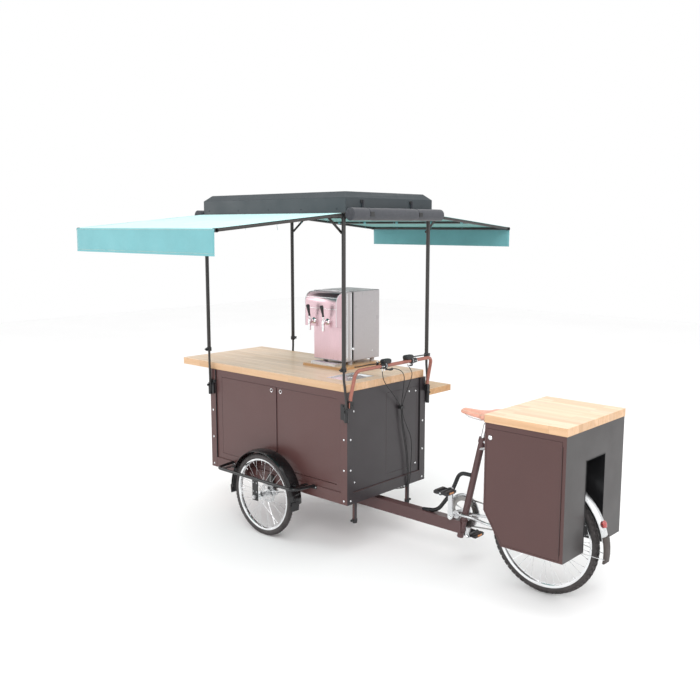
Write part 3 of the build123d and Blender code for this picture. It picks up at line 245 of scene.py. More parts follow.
def cloth(name, colour, rough=0.85, thread=1400):
    """Plain-woven canopy cloth: two thread directions, slub and light sheen."""
    s = Shader(name, roughness=rough, Sheen_Weight=0.25, Sheen_Roughness=0.4)
    warp = s.node("ShaderNodeTexWave", {"Vector": s.coord, "Scale": thread / 6.3, "Distortion": 0.4},
                  bands_direction="X").outputs["Fac"]
    weft = s.node("ShaderNodeTexWave", {"Vector": s.coord, "Scale": thread / 6.3, "Distortion": 0.4},
                  bands_direction="DIAGONAL").outputs["Fac"]
    tone = s.ramp(s.noise(5, 4), (0.3, shade(colour, 0.93)), (0.7, shade(colour, 1.05)))
    tone = s.multiply(tone, s.grey(s.noise(1, 3, s.stretched((500, 30, 30))), 0.93, 1.0))
    normal = s.bump(warp, 0.12, 0.0003, s.bump(weft, 0.12, 0.0003, s.bump(s.noise(14, 3), 0.12, 0.002)))
    return s.finish(tone, s.grey(s.noise(60, 2), rough - 0.08, rough + 0.06), normal)


def leather(name, colour):
    """Stitched leather: pebble grain, creases and darker wear."""
    s = Shader(name, Coat_Weight=0.06, Coat_Roughness=0.4)
    cells = s.node("ShaderNodeTexVoronoi", {"Vector": s.coord, "Scale": 620.0, "Randomness": 1.0},
                   feature="DISTANCE_TO_EDGE").outputs["Distance"]
    crease = s.node("ShaderNodeTexVoronoi", {"Vector": s.stretched((1, 0.6, 1)), "Scale": 90.0},
                    feature="DISTANCE_TO_EDGE").outputs["Distance"]
    tone = s.ramp(s.noise(26, 6), (0.25, shade(colour, 0.78)), (0.72, shade(colour, 1.12)))
    tone = s.multiply(tone, s.grey(cells, 0.82, 1.0, 0.0, 0.12))
    normal = s.bump(cells, 0.25, 0.0006, s.bump(crease, 0.12, 0.001))
    return s.finish(tone, s.grey(s.noise(40, 4), 0.42, 0.6), normal)


def rubber(name, colour, rough=(0.62, 0.85), scale=260):
    """Dull rubber with a mottled tone and fine pitting."""
    s = Shader(name)
    tone = s.ramp(s.noise(16, 5), (0.3, shade(colour, 0.8)), (0.72, shade(colour, 1.35)))
    return s.finish(tone, s.grey(s.noise(30, 4), *rough), s.bump(s.noise(scale, 4), 0.18, 0.0006))


def plastic(name, colour):
    """Moulded plastic with a fine spark-eroded texture."""
    s = Shader(name)
    tone = s.ramp(s.noise(18, 3), (0.3, shade(colour, 0.88)), (0.7, shade(colour, 1.1)))
    return s.finish(tone, s.grey(s.noise(24, 3), 0.38, 0.52), s.bump(s.noise(1500, 2), 0.16, 0.0003))


def reflector(name, colour):
    """Clear coloured lens over a grid of cube corners, with their reflection painted into the colour."""
    s = Shader(name, roughness=0.12, Coat_Weight=0.8, Coat_Roughness=0.05)
    cells = s.node("ShaderNodeTexVoronoi", {"Vector": s.coord, "Scale": 330.0, "Randomness": 0.0}).outputs
    # Brighter at each cube corner's centre, darker towards its rim: painted reflection.
    tone = s.ramp(cells["Distance"], (0.1, shade(colour, 1.5)), (0.6, shade(colour, 0.45)))
    return s.finish(tone, None, s.bump(cells["Distance"], 0.6, 0.001))


# Painted shade: darker grey for the faces that look to -X, the box's rear side.
REAR_PAINTED_SHADE = rgb(46, 41, 44)
BROWN = powder("brown_coat", rgb(84, 54, 52), (0.28, 0.4), rear=REAR_PAINTED_SHADE)
BROWN_FRAME = powder("brown_frame_coat", rgb(88, 62, 62), (0.3, 0.42))
# Cabinet: darker painted shade on its -X faces and near-black painted shade on the lining round the wheel.
CABINET = powder("cabinet_coat", rgb(76, 48, 46), (0.28, 0.4), rear=rgb(44, 40, 40),
                 tunnel_shade=(0.008, 0.008, 0.009))
CANOPY = powder("canopy_coat", rgb(30, 42, 48), (0.36, 0.5))
LEG_GREY = powder("leg_coat", rgb(92, 88, 88), (0.3, 0.42))
GLOSS_BLACK = powder("gloss_black_coat", rgb(20, 20, 22), (0.08, 0.18), 500, 0.1)
DARK = powder("dark_coat", rgb(46, 43, 42), (0.34, 0.46))
BLACK = powder("black_coat", rgb(26, 26, 28), (0.28, 0.4))
STEEL = brushed("brushed_steel_vertical", (0.66, 0.67, 0.68), 2)
STEEL_FLAT = brushed("brushed_steel_long", (0.66, 0.67, 0.68), 0)
CHROME = polished("bright_plate", (0.82, 0.83, 0.84))
ALLOY = polished("satin_alloy", (0.68, 0.69, 0.7), (0.24, 0.38))
ROSE = brushed("rose_steel", (0.72, 0.52, 0.56), 2, (0.25, 0.38))
APPLIANCE = powder("appliance_grey", rgb(172, 168, 170), (0.26, 0.36), 500, 0.03)
GALV = polished("zinc_plate", (0.6, 0.6, 0.61), (0.3, 0.45))
CHAIN_STEEL = polished("chain_steel", (0.32, 0.31, 0.3), (0.28, 0.45))
OAK = oak("oak_boards", rgb(250, 220, 190), rgb(232, 196, 158))
OAK_EDGE = oak("oak_shelf", rgb(236, 198, 150), rgb(208, 160, 112))
CLOTH_TOP = cloth("cloth_top", rgb(188, 232, 232))
CLOTH_UNDER = cloth("cloth_under", rgb(64, 150, 144))
TEAL = cloth("cloth_teal", rgb(112, 172, 178))
ROLL_CLOTH = cloth("cloth_grey", rgb(62, 64, 70), 0.7)
LEATHER = leather("terracotta_leather", rgb(158, 98, 84))
SADDLE_LEATHER = leather("saddle_leather", rgb(242, 178, 156))
TYRE = rubber("tyre_rubber", rgb(62, 58, 58))
CABLE = rubber("cable_housing", rgb(20, 20, 21), (0.3, 0.42), 900)
FLAP = rubber("flap_rubber", rgb(58, 50, 47), (0.5, 0.65))
PLASTIC = plastic("black_plastic", rgb(30, 30, 32))
THREAD = cloth("pale_thread", rgb(226, 206, 184), 0.8, 4000)
RED_LENS = reflector("red_lens", rgb(186, 24, 22))
AMBER = reflector("amber_lens", rgb(230, 130, 20))


# ---- mesh building ----------------------------------------------------------------------
class Piece:
    """Collects the geometry of one piece, in metres but for lathe's profiles and slab's limits."""

    def __init__(self):
        self.bm = bmesh.new()

    def loft(self, rings, cap=True, closed=True, loop=False):
        """Skins the rings: closed joins each one's ends, loop joins the last ring to the first."""
        verts = [[self.bm.verts.new(point) for point in ring] for ring in rings]
        count = len(verts[0])
        pairs = list(zip(verts, verts[1:])) + ([(verts[-1], verts[0])] if loop else [])
        for a, b in pairs:
            for i in range(count if closed else count - 1):
                j = (i + 1) % count
                self.bm.faces.new((a[i], a[j], b[j], b[i]))
        if cap and closed and not loop:
            self.bm.faces.new(verts[0][::-1])
            self.bm.faces.new(verts[-1])

    def rod(self, start, end, radius, far=None, sides=16, chamfer=0.0):
        """Cylinder, or a cone where far, the radius at the end, is another."""
        start, end = Vector(start), Vector(end)
        axis = (end - start).normalized()
        u = axis.orthogonal().normalized()
        v = axis.cross(u)
        far = radius if far is None else far
        stops = [(0, radius), (1, far)]
        if chamfer:
            c = chamfer / (end - start).length
            stops = [(0, radius - chamfer), (c, radius), (1 - c, far), (1, far - chamfer)]
        self.loft([circle(start.lerp(end, t), u, v, r, sides) for t, r in stops])

    def tube(self, points, radius, sides=12, loop=False, flat=1.0, up=None):
        """Sweeps an ellipse along points; radius is a number or one per point."""
        points = [Vector(p) for p in points]
        count = len(points)
        radii = radius if isinstance(radius, (list, tuple)) else [radius] * count
        rings, u = [], None
        for i, point in enumerate(points):
            before = points[(i - 1) % count] if loop or i else point
            after = points[(i + 1) % count] if loop or i < count - 1 else point
            way = (after - before).normalized()
            if u is None:
                u = way.cross(Vector(up)).normalized() if up else way.orthogonal().normalized()
            u = (u - way * u.dot(way)).normalized()
            rings.append(circle(point, u, way.cross(u), radii[i], sides, flat))
        self.loft(rings, loop=loop)

    def lathe(self, centre, profile, low=0.0, high=360.0, steps=96, axis="Y"):
        """Turns a closed profile of (radius, offset) millimetres about an axis through centre."""
        full = high - low >= 360
        rings = []
        for turn in spread(low, high, steps + 1)[:steps if full else None]:
            c, s = cos(radians(turn)), sin(radians(turn))
            if axis == "X":
                ring = [Vector((o, r * c, r * s)) for r, o in profile]
            elif axis == "Y":
                ring = [Vector((r * c, o, r * s)) for r, o in profile]
            else:
                ring = [Vector((r * c, r * s, o)) for r, o in profile]
            rings.append([centre + point / 1000 for point in ring])
        self.loft(rings, loop=full)

    def plate(self, outline, push):
        """Prism from an outline and its thickness as a vector."""
        push = Vector(push)
        self.loft([[Vector(p) for p in outline], [Vector(p) + push for p in outline]])

    def slab(self, x, y, z):
        """Box between millimetre limits in the modelling frame."""
        corners = [P(x[0], y[0], z[0]), P(x[1], y[0], z[0]), P(x[1], y[1], z[0]), P(x[0], y[1], z[0])]
        self.plate(corners, (0, 0, (z[1] - z[0]) / 1000))

    def brick(self, centre, u, v, w):
        """Box from its centre and three half-size vectors."""
        low = [centre - w + u * a + v * b for a, b in ((-1, -1), (1, -1), (1, 1), (-1, 1))]
        self.plate(low, w * 2)

    def done(self, name, material, body, slot, swaps=(), bevel=0.0, subdiv=0, sharp=38.0, solid=0.0,
             under=None):
        """Makes the object: swaps are the CAD nodes it stands for, and under is the material below."""
        bmesh.ops.recalc_face_normals(self.bm, faces=self.bm.faces[:])
        for face in self.bm.faces:
            face.smooth = True
        for edge in self.bm.edges:
            if len(edge.link_faces) == 2 and edge.calc_face_angle(0) > radians(sharp) and not subdiv:
                edge.smooth = False
        mesh = bpy.data.meshes.new(name)
        self.bm.to_mesh(mesh)
        self.bm.free()
        made = bpy.data.objects.new(name, mesh)
        bpy.context.scene.collection.objects.link(made)
        mesh.materials.append(material)
        if under:
            mesh.materials.append(under)
        if bevel:
            add_bevel(made, bevel)
        if subdiv:
            mod = made.modifiers.new("smooth", "SUBSURF")
            mod.levels = mod.render_levels = subdiv
        if solid:
            mod = made.modifiers.new("thickness", "SOLIDIFY")
            mod.thickness = solid
            mod.offset = 0
            mod.material_offset = 1 if under else 0
        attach(made, body)
        if swaps:
            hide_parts(*swaps)
        return made


def add_bevel(target, width):
    """Rounds the sharp edges of an object."""
    mod = target.modifiers.new("edges", "BEVEL")
    mod.width = width
    mod.segments = 2
    mod.limit_method = "ANGLE"
    mod.angle_limit = radians(40)
    mod.harden_normals = True


def eased(points, steps=8):
    """Smooth run through points (Catmull-Rom)."""
    pts = [Vector(p) for p in points]
    pts = [pts[0] * 2 - pts[1]] + pts + [pts[-1] * 2 - pts[-2]]
    out = []
    for a, b, c, d in zip(pts, pts[1:], pts[2:], pts[3:]):
        for k in range(steps):
            t = k / steps
            out.append(0.5 * (2 * b + (c - a) * t + (2 * a - 5 * b + 4 * c - d) * t * t
                              + (3 * b - a - 3 * c + d) * t ** 3))
    out.append(pts[-2])
    return out


def hexagon(piece, centre, axis, across, height):
    """Hexagon nut or bolt head with a washer below it."""
    axis = Vector(axis).normalized()
    piece.rod(centre, centre + axis * 0.0012, across * 0.72, sides=20)
    piece.rod(centre + axis * 0.0012, centre + axis * (0.0012 + height), across * 0.577, sides=6)


def screw(piece, centre, axis, radius, height):
    """Domed head with a hexagon socket's rim."""
    axis = Vector(axis).normalized()
    u = axis.orthogonal().normalized()
    dome = ((1, 0), (1, 0.35), (0.86, 0.75), (0.62, 1), (0.42, 1), (0.38, 0.55), (0.02, 0.5))
    piece.loft([circle(centre + axis * height * h, u, axis.cross(u), radius * r, 16) for r, h in dome])


def screws(piece, spots, axis, radius, height):
    """The same screw at each (x, y, z) in millimetres."""
    for spot in spots:
        screw(piece, P(*spot), axis, radius, height)


def weld(name, points, material, body, slot, size=0.0035):
    """Rippled weld bead along a closed run of points."""
    bead = Piece()
    run = eased(list(points) + [points[0]], 6)[:-1]
    radii = [size * (1 + 0.22 * sin(i * 1.7)) for i in range(len(run))]
    bead.tube(run, radii, 8, loop=True)
    return bead.done(name, material, body, slot)


# ---- finishes of the CAD nodes that stay ------------------------------------------------
FINISH = (
    (BROWN, "box_panels box_frame sliding_door_front sliding_door_rear"),
    (CABINET, "cabinet_door_left cabinet_door_right rear_cabinet"),
    (BROWN_FRAME, "main_beam seat_tube"),
    (DARK, "axle_beam awning_frame_left awning_frame_right awning_braces_left awning_braces_right"),
    (DARK, "canopy_poles"),
    (LEG_GREY, "support_leg_left support_leg_right"),
    (BLACK, "pole_brackets curved_brace"), (GLOSS_BLACK, "wheel_guards"), (CANOPY, "canopy_roof"),
    (CHROME, "rivets seat_post"), (ALLOY, "front_axles rear_stays crank_arms"), (GALV, "rear_axle"),
    (STEEL_FLAT, "steel_inset"), (APPLIANCE, "dispenser_cabinet"), (ROSE, "dispenser_hood"),
    (LEATHER, "handlebar"), (OAK, "counter_top cabinet_top"), (OAK_EDGE, "dispenser_board side_shelf"))
for material, names in FINISH:
    for node in names.split():
        for place in NODES[node].material_slots:
            place.material = material

# Width of the rounded edges, in metres.
SOFTENED = (
    (0.0005, "box_panels"), (0.0008, "rear_cabinet awning_braces_left awning_braces_right"),
    (0.001, "sliding_door_front sliding_door_rear dispenser_hood"),
    (0.0012, "box_frame cabinet_door_left cabinet_door_right"), (0.0015, "pole_brackets"),
    (0.002, "axle_beam"), (0.0025, "dispenser_board crank_arms"), (0.003, "canopy_roof side_shelf"),
    (0.004, "main_beam"))
for width, names in SOFTENED:
    for node in names.split():
        mod = NODES[node].modifiers.new("join", "WELD")
        mod.merge_threshold = 0.00001
        add_bevel(NODES[node], width)


# ---- wheels -----------------------------------------------------------------------------
FRONT = {"x": 684, "y": 458, "z": 275, "r": 275, "tyre": 23, "hub": 44, "flange": 26}
REAR = {"x": -1134, "y": 0, "z": 330, "r": 330, "tyre": 25, "hub": 56, "flange": 28}


def tyre(name, wheel, side, body, node, lugs, rows, lug_size):
    """Carcass with beads and sidewall rings, and its tread blocks."""
    centre = P(wheel["x"], side * wheel["y"], wheel["z"])
    thick = wheel["tyre"]
    mid = wheel["r"] - thick
    depth = lug_size[2]
    body_r = thick - depth
    profile = []
    for turn in spread(-140, 140, 37):
        a = radians(turn)
        ripple = 0.5 if abs(abs(turn) - 96) < 5 or abs(abs(turn) - 118) < 4 else 0
        profile.append((mid + (body_r + ripple) * cos(a), (body_r + ripple) * sin(a)))
    profile += [(mid - thick * 0.5, thick * 0.42), (mid - thick * 0.3, 0), (mid - thick * 0.5, -thick * 0.42)]
    shell = Piece()
    shell.lathe(centre, profile, steps=160)
    for k in range(lugs):
        for cross, slant, shift in rows:
            a = 2 * pi * (k + shift) / lugs
            out = radial(a)
            along = Vector((-sin(a), 0, cos(a)))
            c = radians(cross)
            normal = out * cos(c) + Y * sin(c)
            across = Y * cos(c) - out * sin(c)
            turned = along * cos(slant) + across * sin(slant)
            over = normal.cross(turned)
            base = centre + (out * mid + normal * (body_r + depth / 2 - 1.4)) / 1000
            shell.brick(base, turned * lug_size[0] / 2000, over * lug_size[1] / 2000,
                        normal * (depth + 1) / 2000)
    return shell.done(name, TYRE, body, "tyre_rubber", [node])


def laced_wheel(name, wheel, side, body, node, disc_y, disc_r, spokes):
    """Rim, crossed spokes with nipples, hub, brake disc and valve."""
    centre = P(wheel["x"], side * wheel["y"], wheel["z"])
    thick, half, flange_r = wheel["tyre"], wheel["hub"], wheel["flange"]
    mid = wheel["r"] - thick
    out, low = mid - thick * 0.45, mid - thick * 0.45 - 17
    w = thick * 0.62
    rim = Piece()
    outer = [(out + 6, w), (out + 6, w - 2.2), (out - 4, w - 4)]
    inner = [(low, w * 0.4), (low + 3, w * 0.8), (out - 3, w)]
    rim.lathe(centre, outer + [(out - 7, 0)] + [(r, -y) for r, y in outer[::-1] + inner[::-1]]
              + [(low - 1, 0)] + inner, steps=144)
    for foot, tip, near, far in ((-26, 4, 0.0028, None), (-34, -24, 0.0038, 0.0034)):
        ends = [centre + Vector((low + out_by, 0, 0)) / 1000 for out_by in (foot, tip)]
        rim.rod(*ends, near, far, 10)
    rim.done(name + "_rim", CHROME, body, "bright_steel", [node])
    flange_at = half * 0.72
    laced = Piece()
    for i in range(spokes):
        edge = SIDES[i % 2]
        lead = SIDES[(i // 2) % 2]
        at = 2 * pi * (i + 0.5) / spokes
        start = at + lead * 1.02
        here = radial(start) * flange_r + Y * edge * flange_at
        there = radial(at) * (low + 1) + Y * edge * 3
        laced.rod(centre + here / 1000, centre + there / 1000, 0.001, sides=7)
        laced.rod(centre + (there + (here - there).normalized() * 14) / 1000, centre + there / 1000,
                  0.002, 0.0024, 8)
        laced.rod(centre + (here + Y * edge * 2.6) / 1000,
                  centre + (here - Y * edge) / 1000, 0.0022, sides=8)
    laced.done(name + "_spokes", CHROME, body, "bright_steel")
    hub = Piece()
    right = [(13.5, flange_at - 12), (17, flange_at - 4), (flange_r + 4, flange_at - 1.6),
             (flange_r + 4.6, flange_at), (flange_r + 4, flange_at + 1.6),
             (15, flange_at + 2.5), (12, flange_at + 5), (12, half - 2), (10.5, half), (6.2, half)]
    hub.lathe(centre, [(r, -y) for r, y in right[::-1]] + right, steps=64)
    hub.done(name + "_hub", ALLOY, body, "bright_steel")
    brake_disc(name + "_disc", centre, disc_y, disc_r, body)


def brake_disc(name, centre, y, radius, body):
    """Slotted rotor: wavy outer band, bridges, inner band and six swept arms."""

    def spot(r, a, level):
        return centre + (radial(a) * r + Y * level) / 1000

    disc = Piece()
    low, high = y - 0.9, y + 0.9
    for inner, outer, wave in ((0.72, 0.78, 0.0), (0.9, 0.985, 0.015)):
        rings = []
        for a in turns(120):
            o = radius * (outer + wave * cos(12 * a))
            section = ((radius * inner, low), (o, low), (o, high), (radius * inner, high))
            rings.append([spot(r, a, level) for r, level in section])
        disc.loft(rings, loop=True)
    bridge = ((0.77, 0), (0.91, 0.05), (0.91, 0.12), (0.77, 0.07))
    for a in turns(36):
        disc.plate([spot(radius * share, a + on, low) for share, on in bridge], (0, (high - low) / 1000, 0))
    arm = ((17, -0.25), (radius * 0.5, 0.12), (radius * 0.73, 0.34), (radius * 0.73, 0.46),
           (radius * 0.48, 0.32), (17, 0.3))
    for a in turns(6):
        disc.plate([spot(r, a + on, low) for r, on in arm], (0, (high - low) / 1000, 0))
        screw(disc, spot(19.5, a + 0.02, high), (0, 1, 0), 0.0028, 0.0018)
    disc.lathe(centre, [(14, y - 1.6), (21, y - 1.6), (21, y + 1.4), (14, y + 1.4)], steps=48)
    disc.done(name, STEEL, body, "bright_steel")


# Each row of tread: the angle round the tyre's section, the slant and the stagger.
CITY_ROWS = [(0, 0.0, 0.0), (17, 0.6, 0.25), (-17, -0.6, 0.25), (34, 0.6, 0.55), (-34, -0.6, 0.55),
             (52, 0.3, 0.8), (-52, -0.3, 0.8)]
KNOB_ROWS = [(9, 0.15, 0.0), (-9, -0.15, 0.5), (30, 0.5, 0.3), (-30, -0.5, 0.8), (52, 0.0, 0.0),
             (-52, 0.0, 0.5)]
for side in SIDES:
    word = WORDS[side]
    body = f"front_wheel_{word}_spin"
    tyre(f"city_tyre_{word}", FRONT, side, body, f"front_tyre_{word}", 72, CITY_ROWS, (13, 7.5, 3.8))
    laced_wheel(f"front_{word}", FRONT, side, body, f"front_wheel_{word}", side * -40, 66, 32)
tyre("knobbly_tyre", REAR, 1, "rear_wheel_spin", "rear_tyre", 64, KNOB_ROWS, (15, 10, 6.0))
laced_wheel("rear", REAR, 1, "rear_wheel_spin", "rear_wheel", 48, 80, 36)


# ---- drive ------------------------------------------------------------------------------
CRANK_X, CRANK_Z, CRANK_ARM = -562, 322, 170
BB = P(CRANK_X, 0, CRANK_Z)
AXLE = P(REAR["x"], 0, REAR["z"])
CHAIN_Y = -0.047
RING_R, COG_R = 0.0890, 0.0366      # pitch radii of the ring and the cog
LINK_PITCH = 0.0127


def toothed(piece, centre, pitch_r, teeth, inner, half):
    """Sprocket ring in the XZ plane, with rounded teeth between the chain's plates."""
    rings = []
    for k, a in enumerate(turns(teeth * 6)):
        tip = (0, 0.55, 1.0, 1.0, 0.55, 0)[k % 6]
        r = pitch_r - 0.0046 + 0.0082 * tip
        thin = half * (1 - 0.35 * tip)
        section = ((inner, -half), (r, -thin), (r, thin), (inner, half))
        rings.append([centre + radial(a) * out + Y * y for out, y in section])
    piece.loft(rings, loop=True)


def chain_stations():
    """Evenly spaced pins round both sprockets."""
    gap = (BB - AXLE).length
    tilt = atan2(BB.z - AXLE.z, BB.x - AXLE.x)
    lean = acos((RING_R - COG_R) / gap)
    run = sqrt(gap ** 2 - (RING_R - COG_R) ** 2)
    front_arc = 2 * lean
    arcs = [(RING_R * front_arc, BB, RING_R, tilt - lean, front_arc), None,
            (COG_R * (2 * pi - front_arc), AXLE, COG_R, tilt + lean, 2 * pi - front_arc), None]
    lengths = [arc[0] if arc else run for arc in arcs]
    count = 2 * round(sum(lengths) / LINK_PITCH / 2)

    def on_arc(arc, share):
        _, centre, radius, start, sweep = arc
        return centre + radial(start + sweep * share) * radius

    def at(distance):
        for index, (arc, length) in enumerate(zip(arcs, lengths)):
            if distance > length:
                distance -= length
            elif arc:
                return on_arc(arc, distance / length)
            else:
                leave, meet = on_arc(arcs[index - 1], 1), on_arc(arcs[(index + 1) % 4], 0)
                return leave.lerp(meet, distance / length)

    spots = [at(sum(lengths) * k / count) for k in range(count)]
    return [Vector((p.x, CHAIN_Y, p.z)) for p in spots]


def link_outline(a, b, radius):
    """Figure-of-eight plate round two pins, in the XZ plane."""
    along = (b - a).normalized()
    up = Vector((-along.z, 0, along.x))
    outline = []
    for centre, start in ((b, -80), (a, 100)):
        for turn in spread(start, start + 160, 6):
            t = radians(turn)
            outline.append(centre + (along * cos(t) + up * sin(t)) * radius)
        outline.append(a.lerp(b, 0.5) + up * radius * (0.62 if start < 0 else -0.62))
    return outline


pins = chain_stations()
links, rollers = Piece(), Piece()
for index, here in enumerate(pins):
    there = pins[(index + 1) % len(pins)]
    for edge in SIDES:
        inner, outer = (0.0022, 0.0031) if index % 2 else (0.0032, 0.0041)
        low = edge * inner
        shape = [p + Y * low for p in link_outline(here, there, 0.0042)]
        links.plate(shape, (0, edge * (outer - inner), 0))
    rollers.rod(here - Y * 0.0022, here + Y * 0.0022, 0.0037, sides=10)
    rollers.rod(here - Y * 0.0046, here + Y * 0.0046, 0.0016, sides=8)
links.done("chain_plates", CHAIN_STEEL, "frame", "dark_steel", ["chain"])
rollers.done("chain_rollers", GALV, "frame", "dark_steel")

sprocket = Piece()
toothed(sprocket, Vector((BB.x, CHAIN_Y, BB.z)), RING_R, 44, 0.064, 0.0012)
for a in turns(5, pi / 2):
    foot = BB + radial(a) * 0.070
    sprocket.rod(foot + Y * -0.0535, foot + Y * (CHAIN_Y - 0.001), 0.0055, sides=14)
sprocket.done("chainring_teeth", CHAIN_STEEL, "crank", "black_metal", ["chainring"])
guard = Piece()
guard_rings = []
for k, a in enumerate(turns(96)):
    inner = 0.076 if (k % 16) < 11 else 0.066
    guard_rings.append([BB + radial(a) * r + Y * y for r, y in (
        (inner, -0.0555), (inner, -0.0538), (0.100, -0.0536), (0.106, -0.0532), (0.108, -0.0542),
        (0.106, -0.0566), (0.100, -0.0570))])
guard.loft(guard_rings, loop=True)
for a in turns(5, pi / 2):
    screw(guard, BB + radial(a) * 0.070 + Y * -0.0628, (0, -1, 0), 0.005, 0.003)
guard.done("chain_guard", ALLOY, "crank", "black_metal")
cog = Piece()
cog_centre = Vector((AXLE.x, CHAIN_Y, AXLE.z))
toothed(cog, cog_centre, COG_R, 18, 0.0155, 0.0011)
cog.lathe(cog_centre, [(14, -4), (19, -4), (20, 0), (19, 4), (14, 4)], steps=40)
cog.done("rear_cog", CHAIN_STEEL, "rear_wheel_spin", "bright_steel")
caps = Piece()
for side in SIDES:
    hub_end = BB + Y * side * 0.099
    caps.rod(hub_end, hub_end + Y * side * 0.003, 0.0125, 0.011, 24)
    tip = P(CRANK_X, side * 85, CRANK_Z + side * CRANK_ARM)
    hexagon(caps, tip + Y * -side * 0.0042, (0, -side, 0), 0.014, 0.004)
caps.done("crank_bolts", CHROME, "crank", "silver_alloy")


def pedal(side):
    """Moulded platform with slots, ribbed rubber treads and reflectors, on a core round the pin."""
    word = WORDS[side]
    x0, z0 = CRANK_X, CRANK_Z + side * CRANK_ARM
    low, high = 104.5, 197.5
    core, frame_piece, treads, lens = Piece(), Piece(), Piece(), Piece()

    def bar(piece, x, y, half_z):
        piece.slab((x0 + x[0], x0 + x[1]), (side * y[0], side * y[1]), (z0 - half_z, z0 + half_z))

    section = ((5.2, low), (13, low), (14, low + 5), (10.5, low + 14), (10.5, high - 12), (13, high - 6),
               (13, high), (5.2, high))
    core.lathe(P(x0, 0, z0), [(r, side * y) for r, y in section], steps=32)
    for y in (low + 1, high - 5):
        bar(frame_piece, (-48, 48), (y, y + 4), 8)
    for x in (-46, -24, 24, 46):
        bar(frame_piece, (x - 2.5, x + 2.5), (low, high), 8)
    for y in (low + 22, low + 46, low + 70):
        bar(frame_piece, (-46, 46), (y, y + 3), 7)
    for x in (-35, 35):
        for k in range(11):
            y = low + 7 + 7.4 * k
            bar(treads, (x - 10, x + 10), (y, y + 5.2), 12.6)
        bar(treads, (x - 9, x + 9), (low + 6, high - 6), 11)
    for way in SIDES[::-1]:
        bar(lens, (way * 48.6, way * 50), (130, 172), 6)
    body = f"foot_pedal_{word}"
    core.done(f"pedal_core_{word}", BLACK, body, "black_plastic", [f"pedal_{word}"])
    frame_piece.done(f"pedal_frame_{word}", PLASTIC, body, "black_plastic", bevel=0.0008)
    treads.done(f"pedal_treads_{word}", TYRE, body, "black_plastic", bevel=0.0006)
    lens.done(f"pedal_lens_{word}", AMBER, body, "black_plastic")


for side in SIDES:
    pedal(side)


# ---- mudguards --------------------------------------------------------------------------
def guard_profile(radius, half, drop, thick, points=13):
    """Crowned section with rolled edges."""
    outer = [(radius - drop * abs(y / half) ** 2.6, y) for y in spread(-half, half, points)]
    edge = radius - drop
    right = [(edge - 1.6, half + 0.6), (edge - 3.4, half - 0.6), (edge - 2.4, half - 2.6)]
    left = [(edge - 2.4, 2.6 - half), (edge - 3.4, 0.6 - half), (edge - 1.6, -half - 0.6)]
    inner = [(r - thick, y * 0.94) for r, y in outer[::-1]][1:-1]
    return outer + right + inner + left


for side in SIDES:
    word = WORDS[side]
    centre = P(FRONT["x"], side * FRONT["y"], FRONT["z"])
    arch = Piece()
    arch.lathe(P(FRONT["x"], side * 444, FRONT["z"]), guard_profile(302, 50, 11, 1.8, 17), -2, 182, 84)
    arch.done(f"front_arch_{word}", GLOSS_BLACK, "front_cart", "black_metal",
              ["front_mudguards"] if side > 0 else ())
    trim = Piece()
    for low, high in ((-9, 2), (178, 189)):
        trim.lathe(centre, [(301, -33), (304, -31), (304, 31), (301, 33), (299.5, 30), (299.5, -30)],
                   low, high, 8)
    trim.done(f"front_flaps_{word}", PLASTIC, "front_cart", "black_metal", bevel=0.0006)
    feet = Piece()
    for x, screw_x, stud_x in ((366, 376, 404), (954, 992, 964)):
        feet.slab((x, x + 48), (side * 446, side * 470), (397, 400))
        screw(feet, P(screw_x, side * 458, 400), (0, 0, 1), 0.005, 0.003)
        feet.tube([P(stud_x, side * 446, 400), P(stud_x, side * 446, 404)], 0.004, 10)
    feet.done(f"front_guard_feet_{word}", BLACK, "front_cart", "black_metal", bevel=0.0006)

arch = Piece()
arch.lathe(AXLE, guard_profile(374, 33, 8, 1.6), 25, 171, 84)
arch.done("rear_arch", ALLOY, "frame", "silver_alloy", ["rear_mudguard"])
tail = Piece()
half_flap = [(375, 0), (374.5, -26), (370, -29), (366, -32), (373, -33.5), (377, -28)]
tail.lathe(AXLE, half_flap[3:] + [(377.6, 0)] + [(r, -y) for r, y in half_flap[:0:-1]] + half_flap[:3],
           167, 189, 24)
tail.done("rear_tail_flap", FLAP, "frame", "silver_alloy", bevel=0.0008)
stay = Piece()
for side in SIDES:
    end = AXLE + Vector((-0.371 * cos(radians(5)), side * 0.0356, -0.032))
    start = AXLE + Y * side * 0.092
    stay.tube([start + Vector((0.004, 0, 0)), start, end, end + Vector((-0.004, -side * 0.003, 0))], 0.002, 8)
    hexagon(stay, end + Vector((0.008, side * 0.001, 0)), (0, side, 0), 0.008, 0.003)
    hexagon(stay, start + Y * -side * 0.002, (0, side, 0), 0.012, 0.003)
stay.done("rear_guard_wires", CHROME, "frame", "silver_alloy")

angle = radians(157)
outward = radial(angle)
base = AXLE + outward * 0.3743
flat_up = radial(angle + pi / 2)


def round_rings(*spec):
    return [circle(base + outward * h, flat_up, Y, r, 40) for r, h in spec]


shell, glass = Piece(), Piece()
shell.loft(round_rings((0.012, 0), (0.019, 0.003), (0.020, 0.006), (0.020, 0.0105), (0.0182, 0.0112)))
glass.loft(round_rings((0.018, 0.009), (0.018, 0.0112), (0.0165, 0.0120), (0.009, 0.0124),
                       (0.001, 0.0125)))
shell.done("reflector_shell", RED_LENS, "frame", "red_lens", ["rear_reflector"])
glass.done("reflector_lens", RED_LENS, "frame", "red_lens")


# ---- awnings ----------------------------------------------------------------------------
AWN_Y, AWN_Z, OUT_Y, OUT_Z = 430.0, 2092.0, 1352.0, 2008.0
AWN_X = (3.0, 1308.0)
BARS = (450.0, 870.0, 1352.0)


def arm_z(y):
    """Height of the awning arms' centre at a distance out."""
    return AWN_Z + (OUT_Z - AWN_Z) * (y - AWN_Y) / (OUT_Y - AWN_Y)


